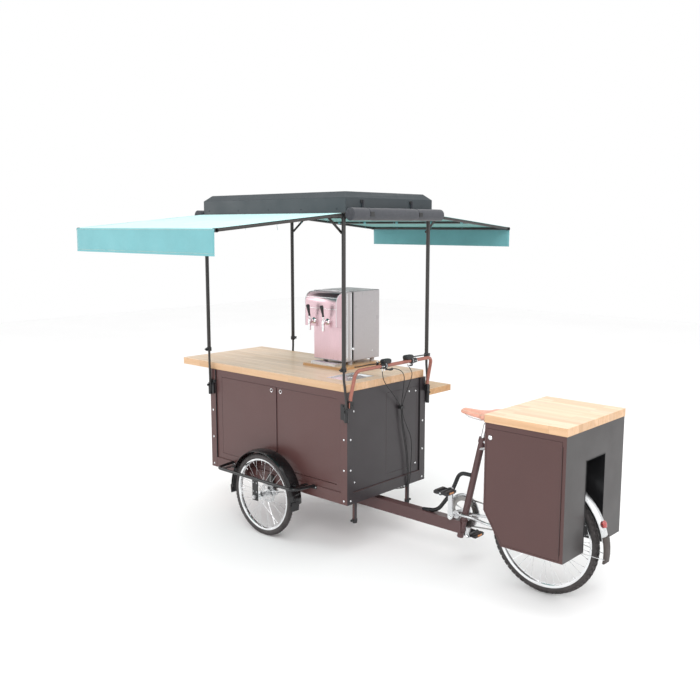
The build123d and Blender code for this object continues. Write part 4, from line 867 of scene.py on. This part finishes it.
def awning(side):
    """Stretched cloth over the bars, the skirt on the outer bar, hems, stitching and tie loops."""
    word = WORDS[side]
    body = f"awning_{word}"
    wide, deep = 72, 54
    low_x, high_x = AWN_X[0] - 6, AWN_X[1] + 6
    columns = spread(low_x, high_x, wide + 1)
    sheet = Piece()
    rows = []
    for y in spread(AWN_Y - 8, OUT_Y, deep + 1):
        row = []
        for i, x in enumerate(columns):
            over = sin(pi * i / wide)
            sag = 0.0
            for near, far in zip(BARS, BARS[1:]):
                if near < y < far:
                    sag = 8.0 * sin(pi * (y - near) / (far - near)) * over ** 0.7
            pull = 1.2 * noise.noise(Vector((x / 160, y / 120, side * 3.0)))
            calm = min(1.0, abs(over) * 4)
            row.append(P(x, side * y, arm_z(y) + 10.6 - sag + pull * calm * (1 if sag else 0.3)))
        rows.append(row)
    for turn in (30, 60, 90):
        a = radians(turn)
        rows.append([P(x, side * (OUT_Y + 10.6 * sin(a)), OUT_Z + 10.6 * cos(a)) for x in columns])
    sheet.loft(rows, cap=False, closed=False)
    made = sheet.done(f"awning_cloth_{word}", CLOTH_TOP, body, "canopy_cloth", [f"awning_fabric_{word}"],
                      solid=0.0011, under=CLOTH_UNDER)
    seams = Piece()
    for i, inward in ((0, 0.022), (wide, -0.022)):
        section = ((0, 0.0009), (inward, 0.0012), (inward, 0.0004), (0, 0))
        seams.loft([[row[i] + Vector((x, 0, z)) for x, z in section] for row in rows[:deep + 1]])
    for y in (AWN_Y - 4, 452, 872, 1330):
        section = ((-9, 11.5), (9, 10.7), (9, 9.3), (-9, 10.5))
        seams.loft([[P(x, side * (y + out), arm_z(y) + up) for out, up in section] for x in columns])
    hem = seams.done(f"awning_hems_{word}", CLOTH_TOP, body, "canopy_cloth")

    def hang(x, level):
        """How far out the skirt hangs at x and at a height."""
        t = (OUT_Z + 8 - level) / 138
        return OUT_Y + 12.6 + t * (2.4 * sin(x / 61.0 + side) + 1.4 * sin(x / 23.0) + 1.2)

    skirt, edge = Piece(), Piece()
    columns = spread(AWN_X[0] - 8, AWN_X[1] + 8, wide + 1)
    skirt.loft([[P(x, side * hang(x, level), level) for x in columns]
                for level in spread(OUT_Z + 8, OUT_Z - 130, 25)], cap=False, closed=False)
    skirt_piece = skirt.done(f"awning_skirt_{word}", TEAL, body, "teal_cloth",
                             [f"awning_valance_{word}"], solid=0.0011)
    for level, reach in ((OUT_Z + 7, 9), (OUT_Z - 122, 8)):
        section = ((-1.1, 1 - reach), (1.1, 1 - reach), (1.1, 1), (-1.1, 1))
        edge.loft([[P(x, side * (hang(x, level) + out), level + up) for out, up in section]
                   for x in columns])
    hem = edge.done(f"skirt_hems_{word}", TEAL, body, "teal_cloth")
    loops, stitches = Piece(), Piece()
    for bar in BARS[:2]:
        for x in (70, 340, 655, 970, 1240):
            loops.lathe(P(x, side * bar, arm_z(bar)), band(8.2, 9.3, 11), steps=28, axis="X")
            drop = [P(x, side * (bar + 3 * sin(k)), arm_z(bar) - 9 - k * 9) for k in range(5)]
            loops.tube(eased(drop, 3), 0.0045, 6, flat=0.18)
    loops.done(f"awning_ties_{word}", TEAL, body, "teal_cloth")
    for k in range(int((high_x - low_x) / 9)):
        x = low_x + 4 + 9 * k
        for level in (OUT_Z + 1.5, OUT_Z - 117.5):
            y = side * (hang(x, level) + 1.2)
            stitches.rod(P(x, y, level), P(x + 5, y, level), 0.0005, sides=5)
    stitches.done(f"skirt_stitches_{word}", THREAD, body, "teal_cloth")
    fittings = Piece()
    for x in AWN_X:
        fittings.lathe(P(x, side * OUT_Y, OUT_Z), band(9.2, 11.2, 14), steps=28, axis="X")
        knuckle = P(x, side * AWN_Y, AWN_Z)
        fittings.lathe(knuckle, [(1.5, -12), (11.5, -12), (12.2, -9), (12.2, 9), (11.5, 12), (1.5, 12)],
                       steps=28, axis="X")
        hexagon(fittings, knuckle + Vector((0.012, 0, 0)), (1, 0, 0), 0.010, 0.003)
    fittings.done(f"awning_joints_{word}", BLACK, body, "dark_steel", bevel=0.0005)


for side in SIDES:
    awning(side)


# ---- rolled curtains --------------------------------------------------------------------
def curtain(name, x, first):
    """Cloth wound on itself, with end spirals, straps, buckles and strap tails."""
    z, low, high = 2097.0, -430.0, 425.0
    strapped = (270, -190)
    roll = Piece()
    rings = []
    for y in spread(low, high, 73):
        pinch = sum(2.6 * exp(-((y - at) / 26) ** 2) for at in strapped)
        ring = []
        for i, a in enumerate(turns(40)):
            swell = 1.1 * noise.noise(Vector((y / 90, cos(a) * 1.3, sin(a) * 1.3)))
            ring.append(P(x, y, z) + radial(a) * (36.4 + swell + 0.04 * i - pinch) / 1000)
        rings.append(ring)
    roll.loft(rings)
    roll.done(name, ROLL_CLOTH, "front_cart", "curtain_cloth", ["rolled_curtains"] if first else (), sharp=70)
    coil, straps, buckles = Piece(), Piece(), Piece()
    for y, way in ((low, -1), (high, 1)):
        end = P(x, y + way * 0.4, z)
        coil.tube([end + radial(k * 0.42) * (4 + 31 * k / 89) / 1000 for k in range(90)], 0.0011, 6)
    coil.done(name + "_ends", ROLL_CLOTH, "front_cart", "curtain_cloth")
    face, lean = (-14, -1) if x < 0 else (1311, 1)
    for at in strapped:
        straps.lathe(P(x, at, z), [(34.6, -14), (36.4, -13.6), (36.4, 13.6), (34.6, 14)], steps=48)
        tail_run = [P(x - lean * 26, at, z + 26)] + [
            P(face + lean * out, at, z + up) for out, up in ((3.2, 22), (2.4, 52), (2.2, 84))]
        straps.tube(eased(tail_run, 5), 0.012, 8, flat=0.09, up=(1, 0, 0))
        buckles.slab((x + lean * 36 - 2, x + lean * 36 + 2), (at - 17, at + 17), (z - 13, z + 13))
        buckles.slab((face + lean * 3 - 1, face + lean * 3 + 1), (at - 16, at + 16), (z + 66, z + 84))
        screw(buckles, P(face + lean * 4, at, z + 75), (lean, 0, 0), 0.004, 0.002)
    straps.done(name + "_straps", ROLL_CLOTH, "front_cart", "curtain_cloth")
    buckles.done(name + "_buckles", BLACK, "front_cart", "curtain_cloth", bevel=0.001)


curtain("curtain_rear", -61.0, True)
curtain("curtain_front", 1358.0, False)


# ---- roof trim and poles ----------------------------------------------------------------
trim = Piece()
for y in (-411, 409.5):
    trim.slab((-14, 1311), (y, y + 1.5), (2107, 2113))
for x in (-15, 1310.5):
    trim.slab((x, x + 1.5), (-410, 410), (2107, 2113))
for side in SIDES:
    screws(trim, [(x, side * 410, 2128) for x in (60, 360, 655, 950, 1250)], (0, side, 0), 0.0045, 0.0022)
trim.done("roof_trim", CANOPY, "front_cart", "canopy_grey")
fittings = Piece()
POLE_Y = 404
for top_x, foot_x, inward in ((10, -6, 1), (1297, 1301, -1)):
    for side in SIDES:
        fittings.lathe(P(top_x, side * POLE_Y, 1178), [(9, -13), (16.4, -13), (17.2, -10), (17.2, 8),
                                                       (15.6, 13), (9, 13)], steps=32, axis="Z")
        knob = P(top_x, side * (POLE_Y + 16), 1178)
        knob_end = knob + Y * side * 0.010
        fittings.rod(knob, knob_end, 0.004, sides=12)
        for a in turns(3):
            fittings.rod(knob_end, knob + radial(a) * 0.010 + Y * side * 0.013, 0.006, 0.005, 10)
        for x, y, z, across, height in ((0, 418, 925, 0.013, 0.005), (20, 389, 890, 0.010, 0.004),
                                        (38, 389, 952, 0.010, 0.004)):
            hexagon(fittings, P(foot_x + inward * x, side * y, z), (0, side, 0), across, height)
        fittings.lathe(P(top_x, side * POLE_Y, 2075), band(12.6, 15.5, 7), steps=28, axis="Z")
fittings.done("pole_fittings", BLACK, "front_cart", "black_metal", bevel=0.0006)


# ---- box details ------------------------------------------------------------------------
def ring_pull(name, x, y, z, body):
    """Flush round pull with a folding half ring and a key slot."""
    plate, slit = Piece(), Piece()
    plate.lathe(P(x, y, z), [(0.5, 0.2), (10, 0.2), (12, 0.4), (12.8, 1.1), (12, 1.7), (9.8, 1.2), (9, 0.7),
                             (0.5, 0.7)], steps=48)
    slit.slab((x - 1.1, x + 1.1), (y + 0.6, y + 1.2), (z - 5, z + 5))
    slit.tube([P(x, y + 1.1, z) + radial(a) * 0.0074 for a in spread(0, pi, 15)], 0.0006, 8)
    plate.done(name, CHROME, body, "box_brown")
    slit.done(name + "_slot", BLACK, body, "box_brown")


ring_pull("front_door_pull", 686, 375.9, 961, "box_door_front")
ring_pull("rear_door_pull", 606, 370.1, 961, "box_door_rear")
details = Piece()
for z in (355, 549, 742):
    for x in (27.5, 1289.5):
        for side in SIDES:
            screw(details, P(x, side * 385, z), (0, side, 0), 0.0068, 0.0034)
    for side in SIDES:
        for x, way in ((0, -1), (1317, 1)):
            screw(details, P(x, side * 355, z), (way, 0, 0), 0.0068, 0.0034)
screws(details, [(9, y, z) for y, z in ((310, 462), (318, 912), (-292, 461), (-290, 953), (-222, 958))],
       (-1, 0, 0), 0.0063, 0.0034)
details.done("box_fasteners", CHROME, "front_cart", "bright_steel", ["rivets"])
# Dark strips along the corner posts' inner edges: painted shade for the shadow gap between post and panel.
shadow_strips = Piece()
for side in SIDES:
    for x0, x1, near, far in ((1259, 1262, 376.2, 384.6), (55, 57, 376.2, 380), (0.4, 8.8, 329, 330),
                              (1308.2, 1316.6, 329, 330)):
        shadow_strips.slab((x0, x1), (side * near, side * far), (404, 1035))
shadow_strips.done("post_shadow_strips", PLASTIC, "front_cart", "box_brown", bevel=0.0004)
sink = Piece()
screws(sink, [(x, y, 1078) for x in (115, 262) for y in (48, 256)], (0, 0, 1), 0.004, 0.002)
outlet = P(188, 152, 1078)
sink.lathe(outlet, [(6, 0), (17, 0), (17, 1.4), (15, 2.0), (9, 1.2), (6, 1.0)], steps=40, axis="Z")
for a in turns(8):
    sink.rod(*(outlet + Vector((r * cos(a), r * sin(a), 0.0012)) for r in (0.006, 0.0135)), 0.0009, sides=6)
sink.done("inset_fittings", CHROME, "front_cart", "steel")
straps = Piece()
for x in (90, 430):
    straps.slab((x, x + 60), (-430, -392), (886, 890))
    straps.lathe(P(x + 30, -392, 887), band(1, 4.2, 30), steps=20, axis="X")
    screws(straps, [(x + 12, -415, 886), (x + 48, -415, 886)], (0, 0, -1), 0.0035, 0.002)
straps.done("shelf_hinges", GALV, "shelf", "oak", bevel=0.0005)


# ---- handlebar --------------------------------------------------------------------------
def lever(y, side, word):
    """Forged blade with a ball end."""
    spine = ((0, 0), (14, 26), (18, 52), (18.5, 78), (17, 100), (14, 124), (13, 146), (15, 162),
             (20, 176), (24, 184))
    run = eased([P(-24 + out, y + side * reach, 1186) for out, reach in spine], 4)
    radii = [0.0062 - 0.0018 * t + 0.0024 * exp(-((t - 0.97) / 0.05) ** 2) for t in spread(0, 1, len(run))]
    blade = Piece()
    blade.tube(run, radii, 14, flat=0.72, up=(1, 0, 0))
    blade.rod(P(-24, y, 1179.2), P(-24, y, 1192.8), 0.0078, sides=24, chamfer=0.0008)
    blade.done(f"lever_blade_{word}", BLACK, f"hand_lever_{word}", "black_metal", [f"brake_lever_{word}"])


GRIPS = ((135, 1), (-190, -1))      # y and the way to the cart's side
BAR_X, BAR_Z = -57, 1175            # the grip's axis
for y, side in GRIPS:
    lever(y, side, WORDS[side])
controls, bright = Piece(), Piece()


def pod_ring(x, y, half_x, half_y, z):
    """Rounded rectangle round (x, y)."""
    return [P(x + half_x * signed_power(cos(a), 0.45), y + half_y * signed_power(sin(a), 0.45), z)
            for a in turns(36)]


for y, reach in GRIPS:
    axle = P(BAR_X, y, BAR_Z)
    controls.lathe(axle, [(11.1, -12), (15, -12), (16, -10.5), (16, -1), (15.4, 0), (16, 1), (16, 10.5),
                          (15, 12), (11.1, 12)], steps=40)
    steps_in = [(11.1, 13.5), (16, 13.5), (18.6, 15), (18.6, 21), (17.4, 22), (17.4, 25), (18.8, 26),
                (18.8, 36), (17.2, 42), (14, 44), (11.1, 44)]
    controls.lathe(axle, [(r, -reach * o) for r, o in steps_in], steps=40)
    for z0, z1 in ((1169, 1178.7), (1193.3, 1197.6)):
        outline = ((-52, -11), (-26, -8.6), (-16, -6), (-15, 0), (-16, 6), (-26, 8.6), (-52, 11))
        controls.plate([P(x, y + across, z0) for x, across in outline], (0, 0, (z1 - z0) / 1000))
    mid = y - reach * 52
    controls.loft([pod_ring(-47, mid, hx, hy, z) for hx, hy, z in (
        (14, 28, 1184), (19, 34, 1187), (21.4, 37, 1192), (22, 38, 1198), (22, 38, 1203), (21, 37, 1203.6),
        (21, 37, 1205), (21.6, 37.6, 1205.6), (20, 36, 1210), (16, 31, 1213.4), (9, 21, 1214.6))])
    controls.loft([pod_ring(-32, mid - reach * 4, hx, hy, z) for hx, hy, z in (
        (6, 14, 1168), (10, 19, 1172), (11, 21, 1180), (10, 20, 1188), (7, 15, 1192))])
    thumb = eased([P(x, y - reach * along, z) for x, along, z in (
        (-62, 34, 1160), (-72, 42, 1152), (-80, 58, 1150), (-82, 76, 1154))], 4)
    controls.tube(thumb, [0.0052] * 6 + [0.0066] * 3 + [0.0075] * 4, 12, flat=0.6)
    screws(bright, [(x, mid + along, 1210.4) for x in (-61, -33) for along in (-27, 27)], (0, 0, 1),
           0.0028, 0.0018)
    hexagon(bright, P(-24, y, 1197.6), (0, 0, 1), 0.009, 0.003)
    clamp = ((18.7, 29), (19.4, 29.4), (19.4, 31.6), (18.7, 32))
    bright.lathe(axle, [(r, -reach * o) for r, o in clamp], steps=36)
    screws(bright, [(-72.6, y + across, BAR_Z) for across in (7, -7)], (-1, 0, 0), 0.0038, 0.003)
for z0, z1 in ((862, 865), (875, 878)):
    controls.slab((-17, 9), (-140, -104), (z0, z1))
for x1, y0, y1 in ((-14.4, -140, -104), (0, -140, -137.4), (0, -106.6, -104)):
    controls.slab((-17, x1), (y0, y1), (864, 876))
for y in (121, 98, -128):
    bright.rod(P(-50, y, 1158), P(-50, y, 1140), 0.0042, 0.0036, 14)
controls.done("handlebar_controls", PLASTIC, "front_cart", "black_plastic", ["handlebar_fittings"],
              bevel=0.0006)
bright.done("control_screws", CHROME, "front_cart", "bright_steel")
seam = Piece()
for y_low, y_high in ((-105, 75), (165, 330), (-330, -220)):
    y = y_low
    while y < y_high:
        seam.rod(P(BAR_X - 3, y, BAR_Z - 11), P(BAR_X + 3, y + 3, BAR_Z - 11), 0.0006, sides=5)
        y += 6
seam.done("grip_stitches", THREAD, "front_cart", "tan_leather")
collars = Piece()
for side in SIDES:
    collars.lathe(P(-21, side * 378, 986), [(10.6, -4), (12.6, -4), (13, 0), (12.6, 4), (10.6, 4)],
                  steps=28, axis="Z")
    screw(collars, P(-34, side * 374, 964), (-1, 0, 0), 0.005, 0.003)
collars.done("bar_collars", BLACK, "front_cart", "black_metal")


# ---- brake cables -----------------------------------------------------------------------
TAIL = -11.5
ROUTES = {
    "left": [(-50, 121, 1154), (-49, 118, 1105), (-46, 76, 1046), (-34, 0, 985), (-22, -66, 925),
             (TAIL, -100, 893), (TAIL, -115, 868), (TAIL, -117, 811), (TAIL, -140, 690), (TAIL, -172, 560),
             (TAIL, -186, 456), (TAIL, -188, 334), (30, -184, 300), (130, -90, 306), (300, 90, 306),
             (450, 270, 306), (540, 375, 304), (595.5, 416, 296)],
    "rear": [(-50, 98, 1154), (-51, 84, 1142), (-50, 15, 1149), (-49, -66, 1124), (-47, -102, 1085),
             (-42, -104, 1030), (-26, -112, 955), (TAIL, -119, 893), (TAIL, -122, 868), (TAIL, -126, 811),
             (TAIL, -152, 690), (TAIL, -184, 560), (TAIL, -197, 456), (TAIL, -198, 334), (30, -196, 300),
             (160, -170, 306), (380, -90, 306), (560, -26, 306), (653.5, -18, 306)],
    "right": [(-50, -128, 1154), (-51, -144, 1136), (-50, -184, 1090), (-40, -162, 1022), (-24, -144, 955),
              (TAIL, -131, 893), (TAIL, -129, 868), (TAIL, -134, 811), (TAIL, -176, 735), (TAIL, -222, 660),
              (TAIL, -232, 560), (TAIL, -220, 456), (TAIL, -212, 334), (30, -211, 300), (180, -240, 306),
              (380, -310, 306), (540, -378, 304), (595.5, -416, 296)]}
for word, route in ROUTES.items():
    curve = bpy.data.curves.new(f"brake_cable_{word}", "CURVE")
    curve.dimensions = "3D"
    curve.bevel_depth = 0.0025
    curve.bevel_resolution = 4
    spline = curve.splines.new("NURBS")
    spline.points.add(len(route) - 1)
    for point, place in zip(spline.points, route):
        point.co = (*P(*place), 1)
    spline.order_u = 3
    spline.use_endpoint_u = True
    spline.resolution_u = 10
    housing = bpy.data.objects.new(f"brake_cable_{word}", curve)
    curve.materials.append(CABLE)
    bpy.context.scene.collection.objects.link(housing)
    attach(housing, "front_cart")
    if word == "left":
        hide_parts("brake_cables")


# ---- dispenser --------------------------------------------------------------------------
gasket = Piece()
gasket.slab((410, 694), (-117.6, -95.4), (1136.5, 1589.5))
gasket.done("dispenser_gasket", PLASTIC, "front_cart", "steel", bevel=0.002)
trims = Piece()
TAPS = ((490, "rear"), (618, "front"))
TAP_Y = 84
screws(trims, [(402, -300, 1520), (402, -300, 1180)], (-1, 0, 0), 0.005, 0.003)
trims.lathe(P(398.6, -106.5, 1212), [(2, -1.5), (9, -1.5), (10, 0), (9, 1), (2, 1)], steps=36, axis="X")
for at, _ in TAPS:
    tap = P(at, 50, 1402)
    trims.lathe(tap, [(9, 0), (20, 0), (21, 2), (18, 5), (13, 8), (11, 16), (11, 24), (9, 24)], steps=40)
    spout = eased([P(at, y, z) for y, z in ((76, 1402), (86, 1401), (90, 1388), (90, 1366), (89, 1342))], 5)
    trims.tube(spout, spread(0.0105, 0.0077, len(spout)), 18)
    trims.lathe(P(at, TAP_Y, 1416), [(2, -14), (12.5, -14), (13.4, -10), (12.4, -2), (8, 0.6), (2, 0.6)],
                steps=32, axis="Z")
trims.done("dispenser_taps", CHROME, "front_cart", "steel")
vents = Piece()
for k in range(9):
    z = 1210 + 26 * k
    vents.slab((701.6, 702.6), (-330, -180), (z, z + 5))
    vents.slab((450, 654), (-375.9, -374.8), (z, z + 5))
vents.done("dispenser_vents", PLASTIC, "front_cart", "steel")
bands = Piece()
for y0, y1 in ((-92, -84), (-52, -44)):
    bands.slab((401.4, 403), (y0, y1), (1140, 1586))
    bands.slab((410, 694), (y0, y1), (1597, 1598.6))
HOOD_R, HOOD_Y, HOOD_Z = 62, -12, 1528      # the hood's round front edge and its centre
arc = [(HOOD_Y + HOOD_R * sin(a), HOOD_Z + HOOD_R * cos(a)) for a in spread(0, pi / 2, 11)]
for x in (408, 696):
    bands.tube([P(x, y, z) for y, z in [(-34, 1590)] + arc + [(50, 1372)]], 0.0022, 8)
for level in (1486, 1560):
    y = HOOD_Y + sqrt(HOOD_R ** 2 - max(0, level - HOOD_Z) ** 2)
    bands.rod(P(408, y, level), P(696, y, level), 0.0022, sides=10)
bands.done("dispenser_trims", CHROME, "front_cart", "steel")
drip = Piece()
drip.slab((440, 668), (-39, 28), (1100, 1118))
for k in range(12):
    drip.slab((448 + 18 * k, 458 + 18 * k), (-30, 22), (1118, 1119.2))
drip.done("drip_tray", STEEL_FLAT, "front_cart", "steel", bevel=0.001)
for at, word in TAPS:
    base_point = P(at, TAP_Y, 1420.5)
    side_way = Vector((1, 0, 0))
    barrel = Piece()
    barrel.rod(base_point - side_way * 0.007, base_point + side_way * 0.007, 0.004, sides=24, chamfer=0.0005)
    barrel.done(f"tap_barrel_{word}", CHROME, f"tap_{word}", "black_plastic")
    way = Vector((0, 20, 90)).normalized()
    for part, spec, material in (
            ("handle", ((0.0065, 0.012), (0.0075, 0.020), (0.0068, 0.032), (0.0085, 0.050), (0.0115, 0.072),
                        (0.0125, 0.084), (0.0108, 0.092), (0.004, 0.0945)), PLASTIC),
            ("ferrule", ((0.0045, 0.0), (0.0058, 0.002), (0.0058, 0.010), (0.0078, 0.012), (0.0078, 0.016),
                         (0.005, 0.018)), CHROME)):
        shape = Piece()
        shape.loft([circle(base_point + way * h, side_way, way.cross(side_way), r, 24) for r, h in spec])
        shape.done(f"tap_{part}_{word}", material, f"tap_{word}", "black_plastic",
                   [f"tap_lever_{word}"] if part == "handle" else ())


# ---- saddle -----------------------------------------------------------------------------
def between(table, t):
    """Eased value at t from (t, value) stops."""
    for (a, va), (b, vb) in zip(table, table[1:]):
        if a <= t <= b:
            k = (t - a) / (b - a)
            k = k * k * (3 - 2 * k)
            return va + (vb - va) * k
    return table[-1][1]


WIDTH = ((0, 13), (0.08, 21), (0.3, 26), (0.5, 38), (0.7, 70), (0.84, 90), (0.94, 82), (1, 58))
TOP = ((0, 956), (0.08, 972), (0.35, 972), (0.6, 974), (0.82, 988), (0.95, 994), (1, 988))
DEPTH = ((0, 20), (0.1, 36), (0.4, 44), (0.7, 54), (0.9, 58), (1, 40))
cushion = Piece()
rings = []
for k, t in enumerate(spread(0, 1, 25)):
    w, top, deep = between(WIDTH, t), between(TOP, t), between(DEPTH, t)
    if k in (0, 24):
        w, deep = w * 0.55, deep * 0.6
    x = -562 - 276 * t
    ring = []
    for a in turns(28):
        y = w * signed_power(cos(a), 0.75)
        rise = 0.46 * deep if sin(a) > 0 else 0.54 * deep
        z = top - 0.46 * deep + rise * signed_power(sin(a), 0.7)
        if sin(a) > 0.3 and t > 0.45:
            z -= 3.5 * exp(-(y / 12) ** 2)
        ring.append(P(x, y, z))
    rings.append(ring)
cushion.loft(rings)
pad = cushion.done("saddle_pad", SADDLE_LEATHER, "seat", "tan_leather", ["saddle"], subdiv=2)
piping, rails = Piece(), Piece()
for pick, below in ((1, 2), (13, 12)):
    edge_run = [ring[pick] + Y * copysign(0.0004, ring[pick].y) for ring in rings[1:-1]]
    piping.tube(eased(edge_run, 3), 0.0013, 8)
    for ring_a, ring_b in zip(rings[2:-2], rings[3:-1]):
        a, b = ring_a[below], ring_b[below]
        for share in (0.1, 0.6):
            lift = Vector((0, 0, 0.0009))
            piping.rod(a.lerp(b, share) + lift, a.lerp(b, share + 0.3) + lift, 0.0006, sides=5)
piping.done("saddle_piping", THREAD, "seat", "tan_leather")
for side in SIDES:
    rails.tube(eased([P(x, side * y, z) for x, y, z in (
        (-588, 9, 948), (-625, 20, 930), (-690, 22, 921), (-760, 22, 921), (-800, 34, 938),
        (-815, 40, 952))], 6), 0.0035, 10)
rails.rod(P(-741, -32, 917), P(-741, 32, 917), 0.009, sides=20, chamfer=0.001)
rails.rod(P(-741, 0, 898), P(-743, 0, 918), 0.0155, 0.013, 24)
for side in SIDES:
    hexagon(rails, P(-741, side * 32, 917), (0, side, 0), 0.013, 0.004)
rails.done("saddle_rails", CHROME, "seat", "bright_steel")


# ---- rear frame details -----------------------------------------------------------------
def seat_tube_ring(z):
    """Ring round the leaning seat tube at a height."""
    middle = -572 - 145 * (z - 181) / (809 - 181)
    return circle(P(middle, 0, z), Vector((1, 0, 0)), Y, 0.0215, 16)


weld("weld_beam_top", seat_tube_ring(284), BROWN_FRAME, "frame", "frame_brown")
weld("weld_beam_low", seat_tube_ring(207), BROWN_FRAME, "frame", "frame_brown")
weld("weld_brace", [P(-662.5 + sqrt(21 ** 2 - (12.5 * cos(a)) ** 2) - 3 * sin(a), 12.5 * cos(a),
                      573.5 + 12.5 * sin(a)) for a in turns(12)], BLACK, "frame", "dark_steel", 0.0028)
weld("weld_brace_foot", [P(-318 + 34 * cos(a), 13 * sin(a), 284.5) for a in turns(14)],
     BLACK, "frame", "dark_steel", 0.0028)
release = Piece()
head = P(-717, 0, 800)
release.rod(head + Vector((-0.028, -0.020, 0)), head + Vector((-0.028, 0.034, 0)), 0.003, sides=12)
release.tube(eased([head + Vector(spot) for spot in (
    (-0.028, 0.034, 0), (-0.034, 0.040, 0.002), (-0.052, 0.040, -0.010), (-0.070, 0.034, -0.026))], 5),
    [0.006, 0.0062, 0.006, 0.0055, 0.005, 0.005, 0.005, 0.0052, 0.0054, 0.0056, 0.0058, 0.006, 0.006,
     0.0058, 0.0054, 0.004], 12, flat=0.6)
release.lathe(head + Vector((-0.028, -0.022, 0)), [(2, -4), (7, -4), (8, 0), (7, 3), (2, 3)], steps=24)
release.done("seat_release", ALLOY, "frame", "silver_alloy")
plug = Piece()
plug.slab((720, 724.6), (-31, 31), (207, 284))
plug.done("beam_end_cap", PLASTIC, "frame", "frame_brown", bevel=0.002)
nuts = Piece()
hexagon(nuts, P(FRONT["x"], 0, 208), (0, 0, -1), 0.030, 0.010)
hexagon(nuts, BB + Y * 0.0345, (0, 1, 0), 0.034, 0.004)
for side in SIDES:
    hexagon(nuts, AXLE + Y * side * 0.085, (0, side, 0), 0.017, 0.008)
nuts.done("frame_nuts", GALV, "frame", "silver_alloy")
cart_nuts = Piece()
for side in SIDES:
    hexagon(cart_nuts, P(FRONT["x"], side * 544, FRONT["z"]), (0, side, 0), 0.019, 0.007)
    for out, row in ((535, [(x, z) for z in (310, 370) for x in (668, 700)]),
                     (386, [(x, 391) for x in (271, 299, 1069, 1097)])):
        screws(cart_nuts, [(x, side * out, z) for x, z in row], (0, side, 0), 0.004, 0.002)
cart_nuts.done("guard_nuts", GALV, "front_cart", "silver_alloy")
LEG_X, LEG_Y = 50, 262
for side in SIDES:
    pad_piece = Piece()
    pad_piece.lathe(P(LEG_X, side * LEG_Y, 184), [(0.5, -3), (13, -3), (15.5, -1), (15.5, 2), (13, 4.5),
                                             (0.5, 4.5)], steps=32, axis="Z")
    pad_piece.done(f"leg_pad_{WORDS[side]}", PLASTIC, f"leg_{WORDS[side]}", "black_plastic")
    collar = Piece()
    collar.lathe(P(LEG_X, side * LEG_Y, 199), band(14.1, 17, 9), steps=32, axis="Z")
    knob = P(LEG_X, side * (LEG_Y + 16), 200)
    collar.rod(knob, knob + Y * side * 0.012, 0.004, sides=12)
    collar.rod(knob + Y * side * 0.010, knob + Y * side * 0.018, 0.009, 0.008, 10)
    collar.done(f"leg_collar_{WORDS[side]}", BLACK, "front_cart", "black_metal", bevel=0.0006)
for side in SIDES:
    word = WORDS[side]
    lock = Piece()
    at = P(-976, side * 324.5, 919)
    barrel = ((1, -0.6), (11, -0.6), (12.5, 0.4), (11, 1.8), (8.6, 2.2), (8.2, 1.2), (1, 1.2))
    lock.lathe(at, [(r, side * y) for r, y in barrel], steps=40)
    lock.done(f"cabinet_lock_{word}", CHROME, f"rear_door_{word}", "box_brown")
    slit = Piece()
    slit.slab((-977, -975), (side * 325.4, side * 326.2), (914, 924))
    slit.done(f"cabinet_key_slot_{word}", BLACK, f"rear_door_{word}", "box_brown")
    pins_piece = Piece()
    for z in (380, 520, 660, 800, 940):
        pins_piece.lathe(P(-1399, side * 325.4, z), band(0.3, 3, 2), steps=16, axis="Z")
    screws(pins_piece, [(-1390, side * 323.7, z) for z in (410, 560, 740, 910)], (0, side, 0), 0.003, 0.0012)
    pins_piece.done(f"cabinet_hinge_{word}", CABINET, f"rear_door_{word}", "bright_steel")
slot_edge = Piece()
for side in SIDES:
    slot_edge.slab((-1423, -1419), (side * 103.5, side * 106), (336, 833))
slot_edge.slab((-1423, -1419), (-106, 106), (829.5, 833))
slot_edge.done("tunnel_edging", PLASTIC, "frame", "box_brown", bevel=0.0008)


# ---- stage ------------------------------------------------------------------------------
FLOOR_HALF = 14.0
s = Shader("pale_floor", roughness=0.7)
tone = s.ramp(s.noise(0.6, 2), (0.3, (0.955,) * 3), (0.7, (0.975,) * 3))
FLOOR = s.finish(tone, None, s.bump(s.noise(60, 2), 0.02, 0.001))
mesh = bpy.data.meshes.new("floor")
mesh.from_pydata([(x * FLOOR_HALF, y * FLOOR_HALF, 0) for x, y in ((-1, -1), (1, -1), (1, 1), (-1, 1))], [],
                 [(0, 1, 2, 3)])
floor = bpy.data.objects.new("floor", mesh)
mesh.materials.append(FLOOR)
bpy.context.scene.collection.objects.link(floor)


def area(name, place, target, size, power):
    """Rectangular lamp at place, aimed at target."""
    lamp = bpy.data.lights.new(name, "AREA")
    lamp.shape = "RECTANGLE"
    lamp.size, lamp.size_y = size
    lamp.energy = power
    holder = bpy.data.objects.new(name, lamp)
    holder.location = place
    holder.rotation_euler = (Vector(target) - Vector(place)).to_track_quat("-Z", "Y").to_euler()
    bpy.context.scene.collection.objects.link(holder)


area("key", (-4.5, 5.5, 5.5), (0, 0, 0.9), (4, 3), 230)
area("fill", (-6.0, -3.0, 3.2), (-0.5, 0, 0.8), (4, 3), 80)
area("front_fill", (5.0, 4.0, 3.0), (0.4, 0, 0.9), (4, 3), 80)
area("top", (0.2, 0.3, 6.5), (0, 0, 0), (6, 5), 90)
bpy.context.scene.view_settings.view_transform = "Standard"
world = bpy.data.worlds.new("studio")
bpy.context.scene.world = world
world.use_nodes = True
world.node_tree.nodes["Background"].inputs[0].default_value = (1, 1, 1, 1)
world.node_tree.nodes["Background"].inputs[1].default_value = 1.0

lens = bpy.data.cameras.new("camera")
lens.lens = 43.37
lens.sensor_width = 36
lens.clip_end = 60
camera = bpy.data.objects.new("camera", lens)
camera.location = (-3.436, 4.0315, 2.031)
yaw, pitch = -0.8273, 0.1465
look = Vector((cos(yaw) * cos(pitch), sin(yaw) * cos(pitch), -sin(pitch)))
camera.rotation_euler = look.to_track_quat("-Z", "Y").to_euler()
bpy.context.scene.collection.objects.link(camera)
bpy.context.scene.camera = camera

bpy.context.view_layer.update()
